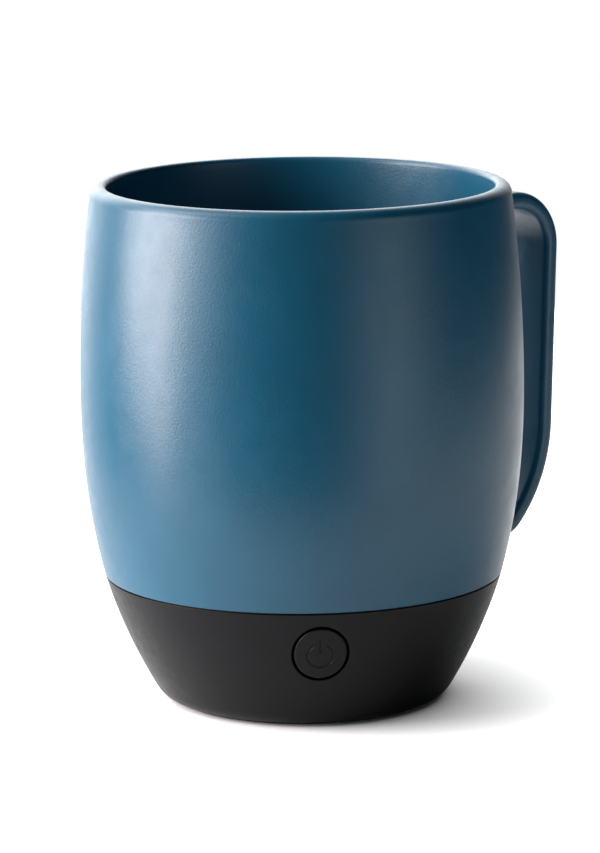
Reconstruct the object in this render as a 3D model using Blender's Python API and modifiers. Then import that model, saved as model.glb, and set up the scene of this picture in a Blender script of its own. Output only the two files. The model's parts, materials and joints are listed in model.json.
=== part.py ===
"""A self heating mug: a painted double wall steel cup with a strap handle, on a plastic base.

The base holds two cells, a control board, a push button with its switch, and the charging
contacts. The film heater is clamped under the cup's floor. All sizes are in metres, with
+Z up. The origin is the centre of the foot, and the handle points along +X.
"""

import math

import bmesh
import bpy
from mathutils import Matrix, Vector

# Fits shared by all pieces
SEAT_GAP = 0.0003
RUNNING_GAP = 0.0005
CUT_OVERRUN = 0.002
MERGE_DISTANCE = 0.000002

# Outline of the mug, seen from the side
MUG_HEIGHT = 0.1113
BELLY_RADIUS = 0.0475
BELLY_HEIGHT = 0.068
RIM_RADIUS = 0.0446
SEAM_RADIUS = 0.0429
SEAM_HEIGHT = 0.0276
HEEL_RADIUS = 0.0304
BASE_BULGE = 0.00115
UPPER_CURVE_POWER = 1.9
LOWER_CURVE_POWER = 2.3

# Steel cup and shell, with walls measured level
SHELL_WALL = 0.0008
CUP_WALL = 0.0008
DOUBLE_WALL = 0.00325
CUP_TAPER_SHARE = 0.02
LIP_DEPTH = 0.0024
LIP_OUTER_ROUND = 0.0022
LIP_INNER_ROUND = 0.001
LIP_ROUND_HEIGHT = 0.0018
CUP_FLOOR_HEIGHT = 0.036
CUP_CORNER_RADIUS = 0.009
STUD_RADIUS = 0.0015
STUD_LENGTH = 0.010

# Closing ring, which joins the two walls and takes the base's bayonet
RING_THICKNESS = 0.0008
RING_RISE = 0.0032
RING_CONE_TOP_RADIUS = 0.0296
RING_CONE_FOOT_RADIUS = 0.0312
COLLAR_INSET = 0.0005
COLLAR_LIFT = 0.0002
LUG_COUNT = 3
LUG_WIDTH = 0.008
LUG_THICKNESS = 0.0008
LUG_REACH = 0.0018

# Gasket in the seam
GASKET_THICKNESS = 0.0004
GASKET_WIDTH = 0.0022
GASKET_INSET = 0.0004

# Strap handle, whose outer line is drawn in the XZ plane
HANDLE_WIDTH = 0.016
HANDLE_THICKNESS = 0.0037
HANDLE_EDGE_RADIUS = 0.0012
HANDLE_REACH = 0.0682
HANDLE_TOP_HEIGHT = 0.1046
HANDLE_CORNER_RADIUS = 0.0125
HANDLE_LEAN_DEGREES = 2.6
HANDLE_BEND_HEIGHT = 0.052
HANDLE_BEND_RADIUS = 0.033
HANDLE_BEND_DEGREES = 135
HANDLE_HOOK_RADIUS = 0.008
HANDLE_HOOK_DEGREES = 192
HANDLE_ROOT = 0.003

# Plastic base
BASE_WALL = 0.0022
BASE_FOOT_HEIGHT = 0.0006
HEEL_ROUND = 0.0021
HEEL_ROUND_HEIGHT = 0.0026
RABBET_RADIUS = 0.0285
FLOOR_OPENING_RADIUS = 0.0245
FLOOR_THICKNESS = 0.0012
SHOULDER_THICKNESS = 0.0012
SPIGOT_RADIUS = 0.0386
SPIGOT_WALL = 0.0014

# Foot ring, bottom cover and charging contacts
FOOT_RING_THICKNESS = 0.001
FOOT_RING_INNER_RADIUS = 0.021
FOOT_RING_ROUND = 0.0002
COVER_THICKNESS = 0.001
CONTACT_FACE_HEIGHT = 0.0005
CONTACT_THICKNESS = 0.0005
CENTRE_CONTACT_RADIUS = 0.004
CENTRE_TAIL_RADIUS = 0.0013
RING_CONTACT_INNER_RADIUS = 0.009
RING_CONTACT_OUTER_RADIUS = 0.012
RING_TAIL_RADIUS = 0.0008
TAIL_ABOVE_COVER = 0.0014

# Cells and their tray
CELL_RADIUS = 0.009
CELL_LENGTH = 0.035
CELL_NUB_RADIUS = 0.003
CELL_NUB_HEIGHT = 0.0008
CELL_EDGE_ROUND = 0.0006
CELL_CLEARANCE = 0.0003
CELL_LIFT = 0.0006
TAB_THICKNESS = 0.0003
TAB_WIDTH = 0.006
TAB_DROP = 0.004
LINK_HEIGHT = 0.006
LINK_MARGIN = 0.005
TRAY_RADIUS = 0.0296
TRAY_PLATE_THICKNESS = 0.001
TRAY_WALL = 0.0018
TRAY_WALL_HEIGHT = 0.0084
LEAD_NOTCH_WIDTH = 0.012
POST_RADIUS = 0.0024
POST_CIRCLE_RADIUS = 0.0252
POST_ANGLES_DEGREES = (90, 180, 270)

# Control board
BOARD_RADIUS = 0.0285
BOARD_THICKNESS = 0.001
BOARD_ABOVE_CELLS = 0.0006
BOARD_FLAT_DISTANCE = 0.0262
CONTROLLER_SIZE = 0.007
CHARGER_SIZE = 0.005
CHIP_HEIGHT = 0.001
COIL_SIZE = 0.008
COIL_HEIGHT = 0.0035
COIL_ROUND = 0.001
CAPACITOR_RADIUS = 0.0025
CAPACITOR_HEIGHT = 0.0042
SOCKET_LENGTH = 0.008
SOCKET_WIDTH = 0.004
SOCKET_HEIGHT = 0.0035

# Places on the control board, as shares of its radius
MICROCONTROLLER_SHARE = (0.1, 0.45)
CHARGER_SHARE = (0.1, -0.45)
COIL_SHARE = (-0.45, -0.45)
SENSOR_SOCKET_SHARE = (-0.42, 0.42)
CAPACITOR_SHARES = ((0.55, -0.40), (0.74, -0.12))

# Place of the heater's socket, as shares of the circle that its leads come down on
HEATER_SOCKET_SHARE = (0.595, 0.504)

# Heater stack under the cup
SPREADER_CLEARANCE = 0.0023
SPREADER_THICKNESS = 0.0015
HEATER_INSET = 0.0005
HEATER_THICKNESS = 0.0004
PAD_INSET = 0.0025
PAD_THICKNESS = 0.0025
CLAMP_INSET = 0.001
CLAMP_THICKNESS = 0.001
CLAMP_LIP_HEIGHT = 0.0012
NUT_RADIUS = 0.0032
NUT_HEIGHT = 0.0024
SENSOR_RADIUS = 0.002
SENSOR_HEAD_RADIUS = 0.003
SENSOR_HEAD_HEIGHT = 0.001
SENSOR_OFFSET = 0.012
FUSE_RADIUS = 0.0016
FUSE_LENGTH = 0.009
FUSE_OFFSET = 0.011

# Push button and its switch, on an axis that runs level out of the base
BUTTON_AZIMUTH_DEGREES = -125
BUTTON_HEIGHT = 0.01805
BUTTON_HOLE_WIDTH = 0.0121
BUTTON_HOLE_HEIGHT = 0.0127
BUTTON_PROUD = 0.0001
BUTTON_TRAVEL = 0.0007
FLANGE_REACH = 0.0012
FLANGE_THICKNESS = 0.0009
SEAL_THICKNESS = 0.0008
STEM_RADIUS = 0.0018
PLUNGER_RADIUS = 0.0016
PLUNGER_PROUD = 0.0009
PLUNGER_DEPTH = 0.001
SWITCH_SIZE = 0.006
SWITCH_DEPTH = 0.0034
SWITCH_STEM_LENGTH = 0.0022
SWITCH_BOARD_WIDTH = 0.0252
SWITCH_BOARD_HEIGHT = 0.010
SWITCH_BOARD_THICKNESS = 0.001
SWITCH_POST_OFFSET = 0.0102
SWITCH_POST_RADIUS = 0.0022
LED_WIDTH = 0.002
LED_HEIGHT = 0.0012
LED_DEPTH = 0.0008
LED_OFFSET = 0.0052

# Screws
SCREW_RADIUS = 0.001
SCREW_HEAD_RADIUS = 0.002
SCREW_HEAD_HEIGHT = 0.0012
SCREW_HEAD_TOP_SHARE = 0.8
SCREW_SOCKET_RADIUS = 0.001
SCREW_SOCKET_DEPTH = 0.0005
COVER_SCREW_LENGTH = 0.008
BOARD_SCREW_LENGTH = 0.006
SWITCH_SCREW_LENGTH = 0.005
SCREW_HOLE_EXTRA_DEPTH = 0.001

# Leads
LEAD_RADIUS = 0.0005
LEAD_POINT_SPACING = 0.0025
HEATER_LEAD_INSET = 0.0011
RIBBON_WIDTH = 0.006
RIBBON_THICKNESS = 0.0003

# How finely round shapes are divided
LARGE_STEPS = 48
MEDIUM_STEPS = 32
SMALL_STEPS = 12
WALL_SPANS = 7
HIDDEN_WALL_SPANS = 3
CORNER_SPANS = 3
BEND_STEP_DEGREES = 12

# Levels that follow from the sizes above
SHELL_BOTTOM = SEAM_HEIGHT + GASKET_THICKNESS / 2 + SEAT_GAP
BASE_TOP = SEAM_HEIGHT - GASKET_THICKNESS / 2 - SEAT_GAP
LIP_BOTTOM = MUG_HEIGHT - LIP_DEPTH
SHELL_TOP = LIP_BOTTOM - SEAT_GAP
CUP_UNDERSIDE = CUP_FLOOR_HEIGHT - CUP_WALL
RING_TOP = SHELL_BOTTOM + RING_RISE
RING_BOTTOM = RING_TOP - RING_THICKNESS
SPREADER_TOP = CUP_UNDERSIDE - SEAT_GAP
HEATER_TOP = SPREADER_TOP - SPREADER_THICKNESS - SEAT_GAP
PAD_TOP = HEATER_TOP - HEATER_THICKNESS - SEAT_GAP
CLAMP_TOP = PAD_TOP - PAD_THICKNESS - SEAT_GAP
CLAMP_BOTTOM = CLAMP_TOP - CLAMP_THICKNESS
NUT_TOP = CLAMP_BOTTOM - SEAT_GAP
COVER_BOTTOM = FOOT_RING_THICKNESS + SEAT_GAP
COVER_TOP = COVER_BOTTOM + COVER_THICKNESS
FLOOR_BOTTOM = COVER_TOP + SEAT_GAP
FLOOR_TOP = FLOOR_BOTTOM + FLOOR_THICKNESS
TRAY_BOTTOM = FLOOR_TOP + SEAT_GAP
TRAY_PLATE_TOP = TRAY_BOTTOM + TRAY_PLATE_THICKNESS
CELL_AXIS_HEIGHT = COVER_TOP + CELL_LIFT + CELL_RADIUS
CELL_TOP = CELL_AXIS_HEIGHT + CELL_RADIUS
BOARD_BOTTOM = CELL_TOP + BOARD_ABOVE_CELLS
BOARD_TOP = BOARD_BOTTOM + BOARD_THICKNESS
PART_BOTTOM = BOARD_TOP + SEAT_GAP
TAIL_TOP = COVER_TOP + TAIL_ABOVE_COVER

# Radii and spacings that follow from the sizes above
SPREADER_RADIUS = RING_CONE_TOP_RADIUS - RING_THICKNESS - SPREADER_CLEARANCE
HEATER_RADIUS = SPREADER_RADIUS - HEATER_INSET
PAD_RADIUS = HEATER_RADIUS - PAD_INSET
CLAMP_RADIUS = PAD_RADIUS - CLAMP_INSET
HEATER_LEAD_CIRCLE_RADIUS = HEATER_RADIUS - HEATER_LEAD_INSET
CELL_SPACING = 2 * CELL_RADIUS + CELL_CLEARANCE

# Colours are linear red, green and blue
BLUE = (0.022, 0.099, 0.155)
CHARCOAL = (0.018, 0.018, 0.020)
BLACK = (0.010, 0.010, 0.011)
STEEL = (0.56, 0.57, 0.58)
ALUMINIUM = (0.70, 0.71, 0.72)
GOLD = (0.75, 0.52, 0.22)
AMBER = (0.55, 0.24, 0.05)
WHITE = (0.80, 0.80, 0.78)
GREEN = (0.02, 0.14, 0.06)
RED = (0.45, 0.02, 0.02)
CELL_BLUE = (0.03, 0.10, 0.34)


def clear_scene():
    """Removes what the scene holds, so that the script gives the same result each run."""
    for obj in list(bpy.data.objects):
        bpy.data.objects.remove(obj)
    for collection in list(bpy.data.collections):
        bpy.data.collections.remove(collection)


def new_collection(name):
    collection = bpy.data.collections.new(name)
    bpy.context.scene.collection.children.link(collection)
    return collection


def new_material(name, colour, roughness, metallic):
    made = bpy.data.materials.new(name)
    made.use_nodes = True
    shader = made.node_tree.nodes["Principled BSDF"]
    shader.inputs["Base Color"].default_value = (*colour, 1)
    shader.inputs["Roughness"].default_value = roughness
    shader.inputs["Metallic"].default_value = metallic
    made.diffuse_color = (*colour, 1)
    return made


def base_frame():
    """An empty whose local X axis runs out through the button."""
    empty = bpy.data.objects.new("button_direction", None)
    empty.rotation_euler = (0, 0, math.radians(BUTTON_AZIMUTH_DEGREES))
    PARTS.objects.link(empty)
    bpy.context.view_layer.update()
    return empty


clear_scene()
PARTS = new_collection("self_heating_mug")
CUTTERS = new_collection("cutters")
BASE_FRAME = base_frame()
PAINT = new_material("blue_powder_coat", BLUE, 0.38, 0)
BASE_PLASTIC = new_material("charcoal_plastic", CHARCOAL, 0.5, 0)
DARK_PLASTIC = new_material("black_plastic", BLACK, 0.45, 0)
SILICONE = new_material("black_silicone", BLACK, 0.7, 0)
BARE_STEEL = new_material("bare_steel", STEEL, 0.35, 1)
BARE_ALUMINIUM = new_material("bare_aluminium", ALUMINIUM, 0.35, 1)
PLATED_BRASS = new_material("plated_brass", GOLD, 0.25, 1)
HEATER_FILM = new_material("amber_film", AMBER, 0.4, 0)
WHITE_FELT = new_material("white_insulation", WHITE, 0.9, 0)
BOARD_GREEN = new_material("green_board", GREEN, 0.45, 0)
CELL_SLEEVE = new_material("blue_cell_sleeve", CELL_BLUE, 0.35, 0)
RED_LEAD = new_material("red_lead", RED, 0.45, 0)
CLEAR_LENS = new_material("pale_lens", WHITE, 0.2, 0)


def upper_share(height):
    return (height - BELLY_HEIGHT) / (MUG_HEIGHT - BELLY_HEIGHT)


def lower_share(height):
    return (BELLY_HEIGHT - height) / (BELLY_HEIGHT - SEAM_HEIGHT)


def barrel_radius(height):
    """Outer radius of the painted body, which is widest at the belly."""
    if height > BELLY_HEIGHT:
        drop = BELLY_RADIUS - RIM_RADIUS
        return BELLY_RADIUS - drop * upper_share(height) ** UPPER_CURVE_POWER
    drop = BELLY_RADIUS - SEAM_RADIUS
    return BELLY_RADIUS - drop * lower_share(height) ** LOWER_CURVE_POWER


def base_radius(height):
    """Outer radius of the plastic base, a straight taper with a slight bulge."""
    share = height / SEAM_HEIGHT
    straight = HEEL_RADIUS + (SEAM_RADIUS - HEEL_RADIUS) * share
    return straight + 4 * BASE_BULGE * share * (1 - share)


def cup_radius(height):
    """Radius of the drinking space: the cup passes the rim, and keeps off the wall round it."""
    through_rim = RIM_RADIUS - CUP_TAPER_SHARE * (MUG_HEIGHT - height)
    return min(through_rim, barrel_radius(height)) - DOUBLE_WALL


def levels(start, end, spans):
    """Evenly spaced heights from start to end, both included."""
    return [start + (end - start) * index / spans for index in range(spans + 1)]


def arc(centre, radius, start, end, spans):
    """Points of an arc from one angle to another, in degrees, both included."""
    points = []
    for index in range(spans + 1):
        angle = math.radians(start + (end - start) * index / spans)
        points.append((centre[0] + radius * math.cos(angle), centre[1] + radius * math.sin(angle)))
    return points


def quarter_round(outer, inner, spans):
    """Points of an elliptical corner that leaves outer upright and arrives at inner level."""
    width = outer[0] - inner[0]
    height = inner[1] - outer[1]
    points = []
    for index in range(spans + 1):
        angle = math.pi / 2 * index / spans
        points.append((inner[0] + width * math.cos(angle), outer[1] + height * math.sin(angle)))
    return points


def place(obj, collection, material=None, parent=None, location=(0, 0, 0), rotation=(0, 0, 0)):
    """Links an object where it belongs and gives it its finish."""
    collection.objects.link(obj)
    obj.parent = parent
    obj.location = location
    obj.rotation_euler = rotation
    if material:
        obj.data.materials.append(material)
    if collection is CUTTERS:
        obj.hide_render = True
        obj.display_type = "WIRE"
    return obj


def turned(name, profile, steps, collection=None, material=None, **where):
    """A turned solid: the profile runs down its outer side, in metres from the Z axis."""
    mesh = bpy.data.meshes.new(name)
    edges = [(index, index + 1) for index in range(len(profile) - 1)]
    if profile[0][0] > 0 or profile[-1][0] > 0:
        edges.append((len(profile) - 1, 0))
    mesh.from_pydata([(radius, 0, height) for radius, height in profile], edges, [])
    obj = bpy.data.objects.new(name, mesh)
    place(obj, collection or PARTS, material, **where)
    spin = obj.modifiers.new("turn", "SCREW")
    spin.steps = steps
    spin.render_steps = steps
    spin.use_merge_vertices = True
    spin.merge_threshold = MERGE_DISTANCE
    spin.use_smooth_shade = True
    return obj


def ring_profile(inner, outer, bottom, top):
    return [(outer, top), (outer, bottom), (inner, bottom), (inner, top)]


def mesh_object(name, mesh_builder, collection, material, where):
    mesh = bpy.data.meshes.new(name)
    mesh_builder.to_mesh(mesh)
    mesh_builder.free()
    obj = bpy.data.objects.new(name, mesh)
    return place(obj, collection or PARTS, material, **where)


def block(name, low, high, collection=None, material=None, **where):
    """A box between two corners."""
    low = Vector(low)
    high = Vector(high)
    size = high - low
    builder = bmesh.new()
    stretch = Matrix.Translation((low + high) / 2) @ Matrix.Diagonal((*size, 1))
    bmesh.ops.create_cube(builder, size=1, matrix=stretch)
    return mesh_object(name, builder, collection, material, where)


def rod(name, start, end, radius, steps, collection=None, material=None, squash=1, **where):
    """A round bar from start to end; squash sets its height against its width."""
    start = Vector(start)
    end = Vector(end)
    along = end - start
    turn = along.to_track_quat("Z", "Y").to_matrix().to_4x4()
    placed = Matrix.Translation((start + end) / 2) @ Matrix.Diagonal((1, 1, squash, 1)) @ turn
    builder = bmesh.new()
    bmesh.ops.create_cone(
        builder,
        cap_ends=True,
        segments=steps,
        radius1=radius,
        radius2=radius,
        depth=along.length,
        matrix=placed,
    )
    return mesh_object(name, builder, collection, material, where)


def plate(name, radius, bottom, top, material):
    """A round plate of the base, to be drilled."""
    start = (0, 0, bottom)
    end = (0, 0, top)
    return rod(name, start, end, radius, LARGE_STEPS, material=material, parent=BASE_FRAME)


def boolean(obj, other, operation):
    modifier = obj.modifiers.new(f"{operation.lower()}_{other.name}", "BOOLEAN")
    modifier.operation = operation
    modifier.solver = "EXACT"
    modifier.object = other


def cut(obj, *cutters):
    for cutter in cutters:
        boolean(obj, cutter, "DIFFERENCE")


def join(obj, *others):
    for other in others:
        boolean(obj, other, "UNION")


def keep_inside(obj, other):
    boolean(obj, other, "INTERSECT")


def smooth_line(points, spacing):
    """A smooth curve through the points, with a point on it at about each spacing."""
    points = [Vector(point) for point in points]
    ends = [2 * points[0] - points[1], *points, 2 * points[-1] - points[-2]]
    line = []
    for index in range(1, len(ends) - 2):
        before, here, there, after = ends[index - 1 : index + 3]
        spans = math.ceil((there - here).length / spacing)
        for step in range(spans):
            share = step / spans
            line.append(
                0.5
                * (
                    2 * here
                    + (there - before) * share
                    + (2 * before - 5 * here + 4 * there - after) * share**2
                    + (3 * here - before - 3 * there + after) * share**3
                )
            )
    line.append(points[-1])
    return line


def lead(name, points, material):
    """An insulated lead that follows a smooth line through its points."""
    curve = bpy.data.curves.new(name, "CURVE")
    curve.dimensions = "3D"
    curve.bevel_depth = LEAD_RADIUS
    curve.bevel_resolution = 2
    curve.use_fill_caps = True
    line = smooth_line(points, LEAD_POINT_SPACING)
    spline = curve.splines.new("POLY")
    spline.points.add(len(line) - 1)
    for point, place_on_line in zip(spline.points, line):
        point.co = (*place_on_line, 1)
    obj = bpy.data.objects.new(name, curve)
    return place(obj, PARTS, material, parent=BASE_FRAME)


def offset_line(line, distance):
    """The line moved to its right-hand side by a distance."""
    moved = []
    for index, point in enumerate(line):
        before = Vector(line[max(index - 1, 0)])
        after = Vector(line[min(index + 1, len(line) - 1)])
        along = (after - before).normalized()
        moved.append((point[0] + along.y * distance, point[1] - along.x * distance))
    return moved


def strap(name, outer_line, thickness, width, edge_radius, material, **where):
    """A bent strap: its outer line is drawn level to upright, and its width is along Y."""
    inner_line = offset_line(outer_line, thickness)
    outline = [*outer_line, *reversed(inner_line)]
    curve = bpy.data.curves.new(name, "CURVE")
    curve.dimensions = "2D"
    curve.fill_mode = "BOTH"
    curve.extrude = width / 2 - edge_radius
    curve.bevel_depth = edge_radius
    curve.bevel_resolution = 2
    curve.offset = -edge_radius
    spline = curve.splines.new("POLY")
    spline.points.add(len(outline) - 1)
    for point, corner in zip(spline.points, outline):
        point.co = (*corner, 0, 1)
    spline.use_cyclic_u = True
    drawn = bpy.data.objects.new(name + "_outline", curve)
    PARTS.objects.link(drawn)
    bpy.context.view_layer.update()
    graph = bpy.context.evaluated_depsgraph_get()
    mesh = bpy.data.meshes.new_from_object(drawn.evaluated_get(graph))
    bpy.data.objects.remove(drawn)
    builder = bmesh.new()
    builder.from_mesh(mesh)
    bmesh.ops.remove_doubles(builder, verts=builder.verts, dist=MERGE_DISTANCE)
    bmesh.ops.rotate(builder, verts=builder.verts, matrix=Matrix.Rotation(math.pi / 2, 3, "X"))
    bmesh.ops.recalc_face_normals(builder, faces=builder.faces)
    builder.to_mesh(mesh)
    builder.free()
    mesh.name = name
    mesh.materials.clear()
    mesh.shade_smooth()
    mesh.set_sharp_from_angle(angle=math.radians(35))
    return place(bpy.data.objects.new(name, mesh), PARTS, material, **where)


def body_envelope(name, gap):
    """A cutter in the shape of the whole painted body, grown by a gap."""
    heights = levels(MUG_HEIGHT, SHELL_BOTTOM - CUT_OVERRUN, 2 * WALL_SPANS)
    side = [(barrel_radius(height) + gap, height) for height in heights]
    return turned(name, [(0, heights[0]), *side, (0, heights[-1])], LARGE_STEPS, CUTTERS)


def base_envelope(name, inset, thickness):
    """A cutter that follows the base's side, from an inset to a depth below it."""
    heights = levels(SHELL_BOTTOM + CUT_OVERRUN, 0, WALL_SPANS)
    outer = [(base_radius(height) - inset, height) for height in heights]
    inner = [(radius - thickness, height) for radius, height in reversed(outer)]
    return turned(name, [*outer, *inner], LARGE_STEPS, CUTTERS)


def outer_shell():
    """The painted outer wall, from under the lip to the seam."""
    heights = levels(SHELL_TOP, SHELL_BOTTOM, WALL_SPANS)
    mesh = bpy.data.meshes.new("outer_shell")
    edges = [(index, index + 1) for index in range(WALL_SPANS)]
    mesh.from_pydata([(barrel_radius(height), 0, height) for height in heights], edges, [])
    obj = place(bpy.data.objects.new("outer_shell", mesh), PARTS, PAINT)
    spin = obj.modifiers.new("turn", "SCREW")
    spin.steps = LARGE_STEPS
    spin.render_steps = LARGE_STEPS
    spin.use_merge_vertices = True
    spin.merge_threshold = MERGE_DISTANCE
    spin.use_smooth_shade = True
    wall = obj.modifiers.new("wall", "SOLIDIFY")
    wall.thickness = SHELL_WALL
    wall.offset = -1
    wall.use_even_offset = True


def cup_corner():
    """Centre of the rounded corner between the cup's floor and wall, and the wall's lean there."""
    lean = 0
    height = CUP_FLOOR_HEIGHT + CUP_CORNER_RADIUS
    for _ in range(6):
        rise = CUP_CORNER_RADIUS / 10
        lean = math.atan((cup_radius(height + rise) - cup_radius(height)) / rise)
        height = CUP_FLOOR_HEIGHT + CUP_CORNER_RADIUS * (1 - math.sin(lean))
    centre_radius = cup_radius(height) - CUP_CORNER_RADIUS * math.cos(lean)
    return (centre_radius, CUP_FLOOR_HEIGHT + CUP_CORNER_RADIUS), math.degrees(lean), height


def inner_cup():
    """The drinking cup with its solid rolled lip, and the threaded stud welded under its floor."""
    centre, lean, wall_foot = cup_corner()
    lip_foot = MUG_HEIGHT - LIP_ROUND_HEIGHT
    inside = [(cup_radius(height), height) for height in levels(wall_foot, lip_foot, WALL_SPANS)]
    outside = [
        (cup_radius(height) + CUP_WALL, height)
        for height in levels(LIP_BOTTOM, wall_foot, HIDDEN_WALL_SPANS)
    ]
    crest = barrel_radius(lip_foot) - LIP_OUTER_ROUND
    inner_crest = cup_radius(lip_foot) + LIP_INNER_ROUND
    inner_round = [
        (2 * inner_crest - radius, height)
        for radius, height in quarter_round(
            (inner_crest + LIP_INNER_ROUND, lip_foot), (inner_crest, MUG_HEIGHT), CORNER_SPANS
        )
    ]
    outer_round = quarter_round((barrel_radius(lip_foot), lip_foot), (crest, MUG_HEIGHT), CORNER_SPANS)
    profile = [
        (0, CUP_FLOOR_HEIGHT),
        *arc(centre, CUP_CORNER_RADIUS, -90, -lean, CORNER_SPANS),
        *inside[1:-1],
        *inner_round,
        *reversed(outer_round),
        (barrel_radius(LIP_BOTTOM), LIP_BOTTOM),
        *outside[:-1],
        *arc(centre, CUP_CORNER_RADIUS + CUP_WALL, -lean, -90, CORNER_SPANS),
        (STUD_RADIUS, CUP_UNDERSIDE),
        (STUD_RADIUS, CUP_UNDERSIDE - STUD_LENGTH),
        (0, CUP_UNDERSIDE - STUD_LENGTH),
    ]
    turned("inner_cup", profile, LARGE_STEPS, material=PAINT)


def handle_line():
    """Outer line of the handle, from inside the wall near the rim to inside the wall above the seam."""
    corner = (HANDLE_REACH - HANDLE_CORNER_RADIUS, HANDLE_TOP_HEIGHT - HANDLE_CORNER_RADIUS)
    start = (barrel_radius(HANDLE_TOP_HEIGHT) - HANDLE_ROOT, HANDLE_TOP_HEIGHT)
    lean = HANDLE_LEAN_DEGREES
    turns = round(90 / BEND_STEP_DEGREES)
    line = [start, *arc(corner, HANDLE_CORNER_RADIUS, 90, -lean, turns)]
    run = line[-1][1] - HANDLE_BEND_HEIGHT
    foot = (line[-1][0] - run * math.tan(math.radians(lean)), HANDLE_BEND_HEIGHT)
    outward = Vector((math.cos(math.radians(-lean)), math.sin(math.radians(-lean))))
    bend_end = 90 - HANDLE_BEND_DEGREES
    bend_centre = Vector(foot) - outward * HANDLE_BEND_RADIUS
    line += arc(bend_centre, HANDLE_BEND_RADIUS, -lean, bend_end, turns)
    outward = Vector((math.cos(math.radians(bend_end)), math.sin(math.radians(bend_end))))
    hook_centre = Vector(line[-1]) - outward * HANDLE_HOOK_RADIUS
    hook_end = 90 - HANDLE_HOOK_DEGREES
    line += arc(hook_centre, HANDLE_HOOK_RADIUS, bend_end, hook_end, turns)[1:]
    inward = Vector((math.sin(math.radians(hook_end)), -math.cos(math.radians(hook_end))))
    wall_radius = barrel_radius(line[-1][1]) - HANDLE_ROOT
    line.append(tuple(Vector(line[-1]) + inward * (wall_radius - line[-1][0]) / inward.x))
    return line


def handle():
    """The strap handle, whose ends follow the wall that they are welded to."""
    obj = strap(
        "handle", handle_line(), HANDLE_THICKNESS, HANDLE_WIDTH, HANDLE_EDGE_RADIUS, PAINT
    )
    cut(obj, body_envelope("body_envelope", SEAT_GAP))


def closing_ring():
    """The steel ring that closes the space between the walls, with a collar for the bayonet."""
    outer = barrel_radius(RING_BOTTOM) - SHELL_WALL - RUNNING_GAP
    collar_bottom = SHELL_BOTTOM + COLLAR_LIFT
    collar_outer = barrel_radius(collar_bottom) - SHELL_WALL - COLLAR_INSET
    collar_inner = collar_outer - RING_THICKNESS
    cone_inner = RING_CONE_TOP_RADIUS - RING_THICKNESS
    profile = [
        (RING_CONE_TOP_RADIUS, SPREADER_TOP),
        (RING_CONE_FOOT_RADIUS, RING_TOP),
        (outer, RING_TOP),
        (outer, RING_BOTTOM),
        (collar_outer, RING_BOTTOM),
        (collar_outer, collar_bottom),
        (collar_inner, collar_bottom),
        (collar_inner, RING_BOTTOM),
        (RING_CONE_FOOT_RADIUS - RING_THICKNESS, RING_BOTTOM),
        (cone_inner, SPREADER_TOP),
    ]
    obj = turned("closing_ring", profile, LARGE_STEPS, material=BARE_STEEL)
    mid_radius = collar_inner + RING_THICKNESS / 2
    reach = math.sqrt(mid_radius**2 - (LUG_WIDTH / 2) ** 2)
    for index in range(LUG_COUNT):
        join(
            obj,
            block(
                f"collar_lug_{index + 1}",
                (collar_inner - LUG_REACH, -LUG_WIDTH / 2, collar_bottom),
                (reach, LUG_WIDTH / 2, collar_bottom + LUG_THICKNESS),
                CUTTERS,
                rotation=(0, 0, 2 * math.pi * index / LUG_COUNT),
            ),
        )


def seam_gasket():
    outer = base_radius(BASE_TOP) - GASKET_INSET
    bottom = SEAM_HEIGHT - GASKET_THICKNESS / 2
    profile = ring_profile(outer - GASKET_WIDTH, outer, bottom, bottom + GASKET_THICKNESS)
    turned("seam_gasket", profile, LARGE_STEPS, material=SILICONE)


def base_profile():
    """The housing's section: its side, rounded heel, rabbet, floor, inner side and spigot."""
    round_top = BASE_FOOT_HEIGHT + HEEL_ROUND_HEIGHT
    heights = levels(BASE_TOP, round_top, CORNER_SPANS)
    side = [(base_radius(height), height) for height in heights]
    corner = Vector((base_radius(BASE_FOOT_HEIGHT), BASE_FOOT_HEIGHT))
    above = Vector(side[-1])
    beside = corner - Vector((HEEL_ROUND, 0))
    heel = []
    for index in range(1, CORNER_SPANS + 1):
        share = index / CORNER_SPANS
        point = above * (1 - share) ** 2 + corner * 2 * share * (1 - share) + beside * share**2
        heel.append(tuple(point))
    shoulder = BASE_TOP - SHOULDER_THICKNESS
    spigot_top = RING_BOTTOM - SEAT_GAP
    spigot_inner = SPIGOT_RADIUS - SPIGOT_WALL
    inner = [
        (base_radius(height) - BASE_WALL, height)
        for height in levels(FLOOR_TOP, shoulder, HIDDEN_WALL_SPANS)
    ]
    return [
        *side,
        *heel,
        (RABBET_RADIUS, BASE_FOOT_HEIGHT),
        (RABBET_RADIUS, FLOOR_BOTTOM),
        (FLOOR_OPENING_RADIUS, FLOOR_BOTTOM),
        (FLOOR_OPENING_RADIUS, FLOOR_TOP),
        *inner,
        (spigot_inner, shoulder),
        (spigot_inner, spigot_top),
        (SPIGOT_RADIUS, spigot_top),
        (SPIGOT_RADIUS, BASE_TOP),
    ]


def bayonet_lug(index):
    """One outward lug of the spigot, locked above the collar's lug."""
    collar_bottom = SHELL_BOTTOM + COLLAR_LIFT
    bottom = collar_bottom + LUG_THICKNESS + SEAT_GAP
    collar_inner = barrel_radius(collar_bottom) - SHELL_WALL - COLLAR_INSET - RING_THICKNESS
    reach = math.sqrt((collar_inner - SEAT_GAP) ** 2 - (LUG_WIDTH / 2) ** 2)
    return block(
        f"spigot_lug_{index + 1}",
        (SPIGOT_RADIUS - SPIGOT_WALL / 2, -LUG_WIDTH / 2, bottom),
        (reach, LUG_WIDTH / 2, RING_BOTTOM - SEAT_GAP),
        CUTTERS,
        rotation=(0, 0, 2 * math.pi * index / LUG_COUNT),
    )


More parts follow.
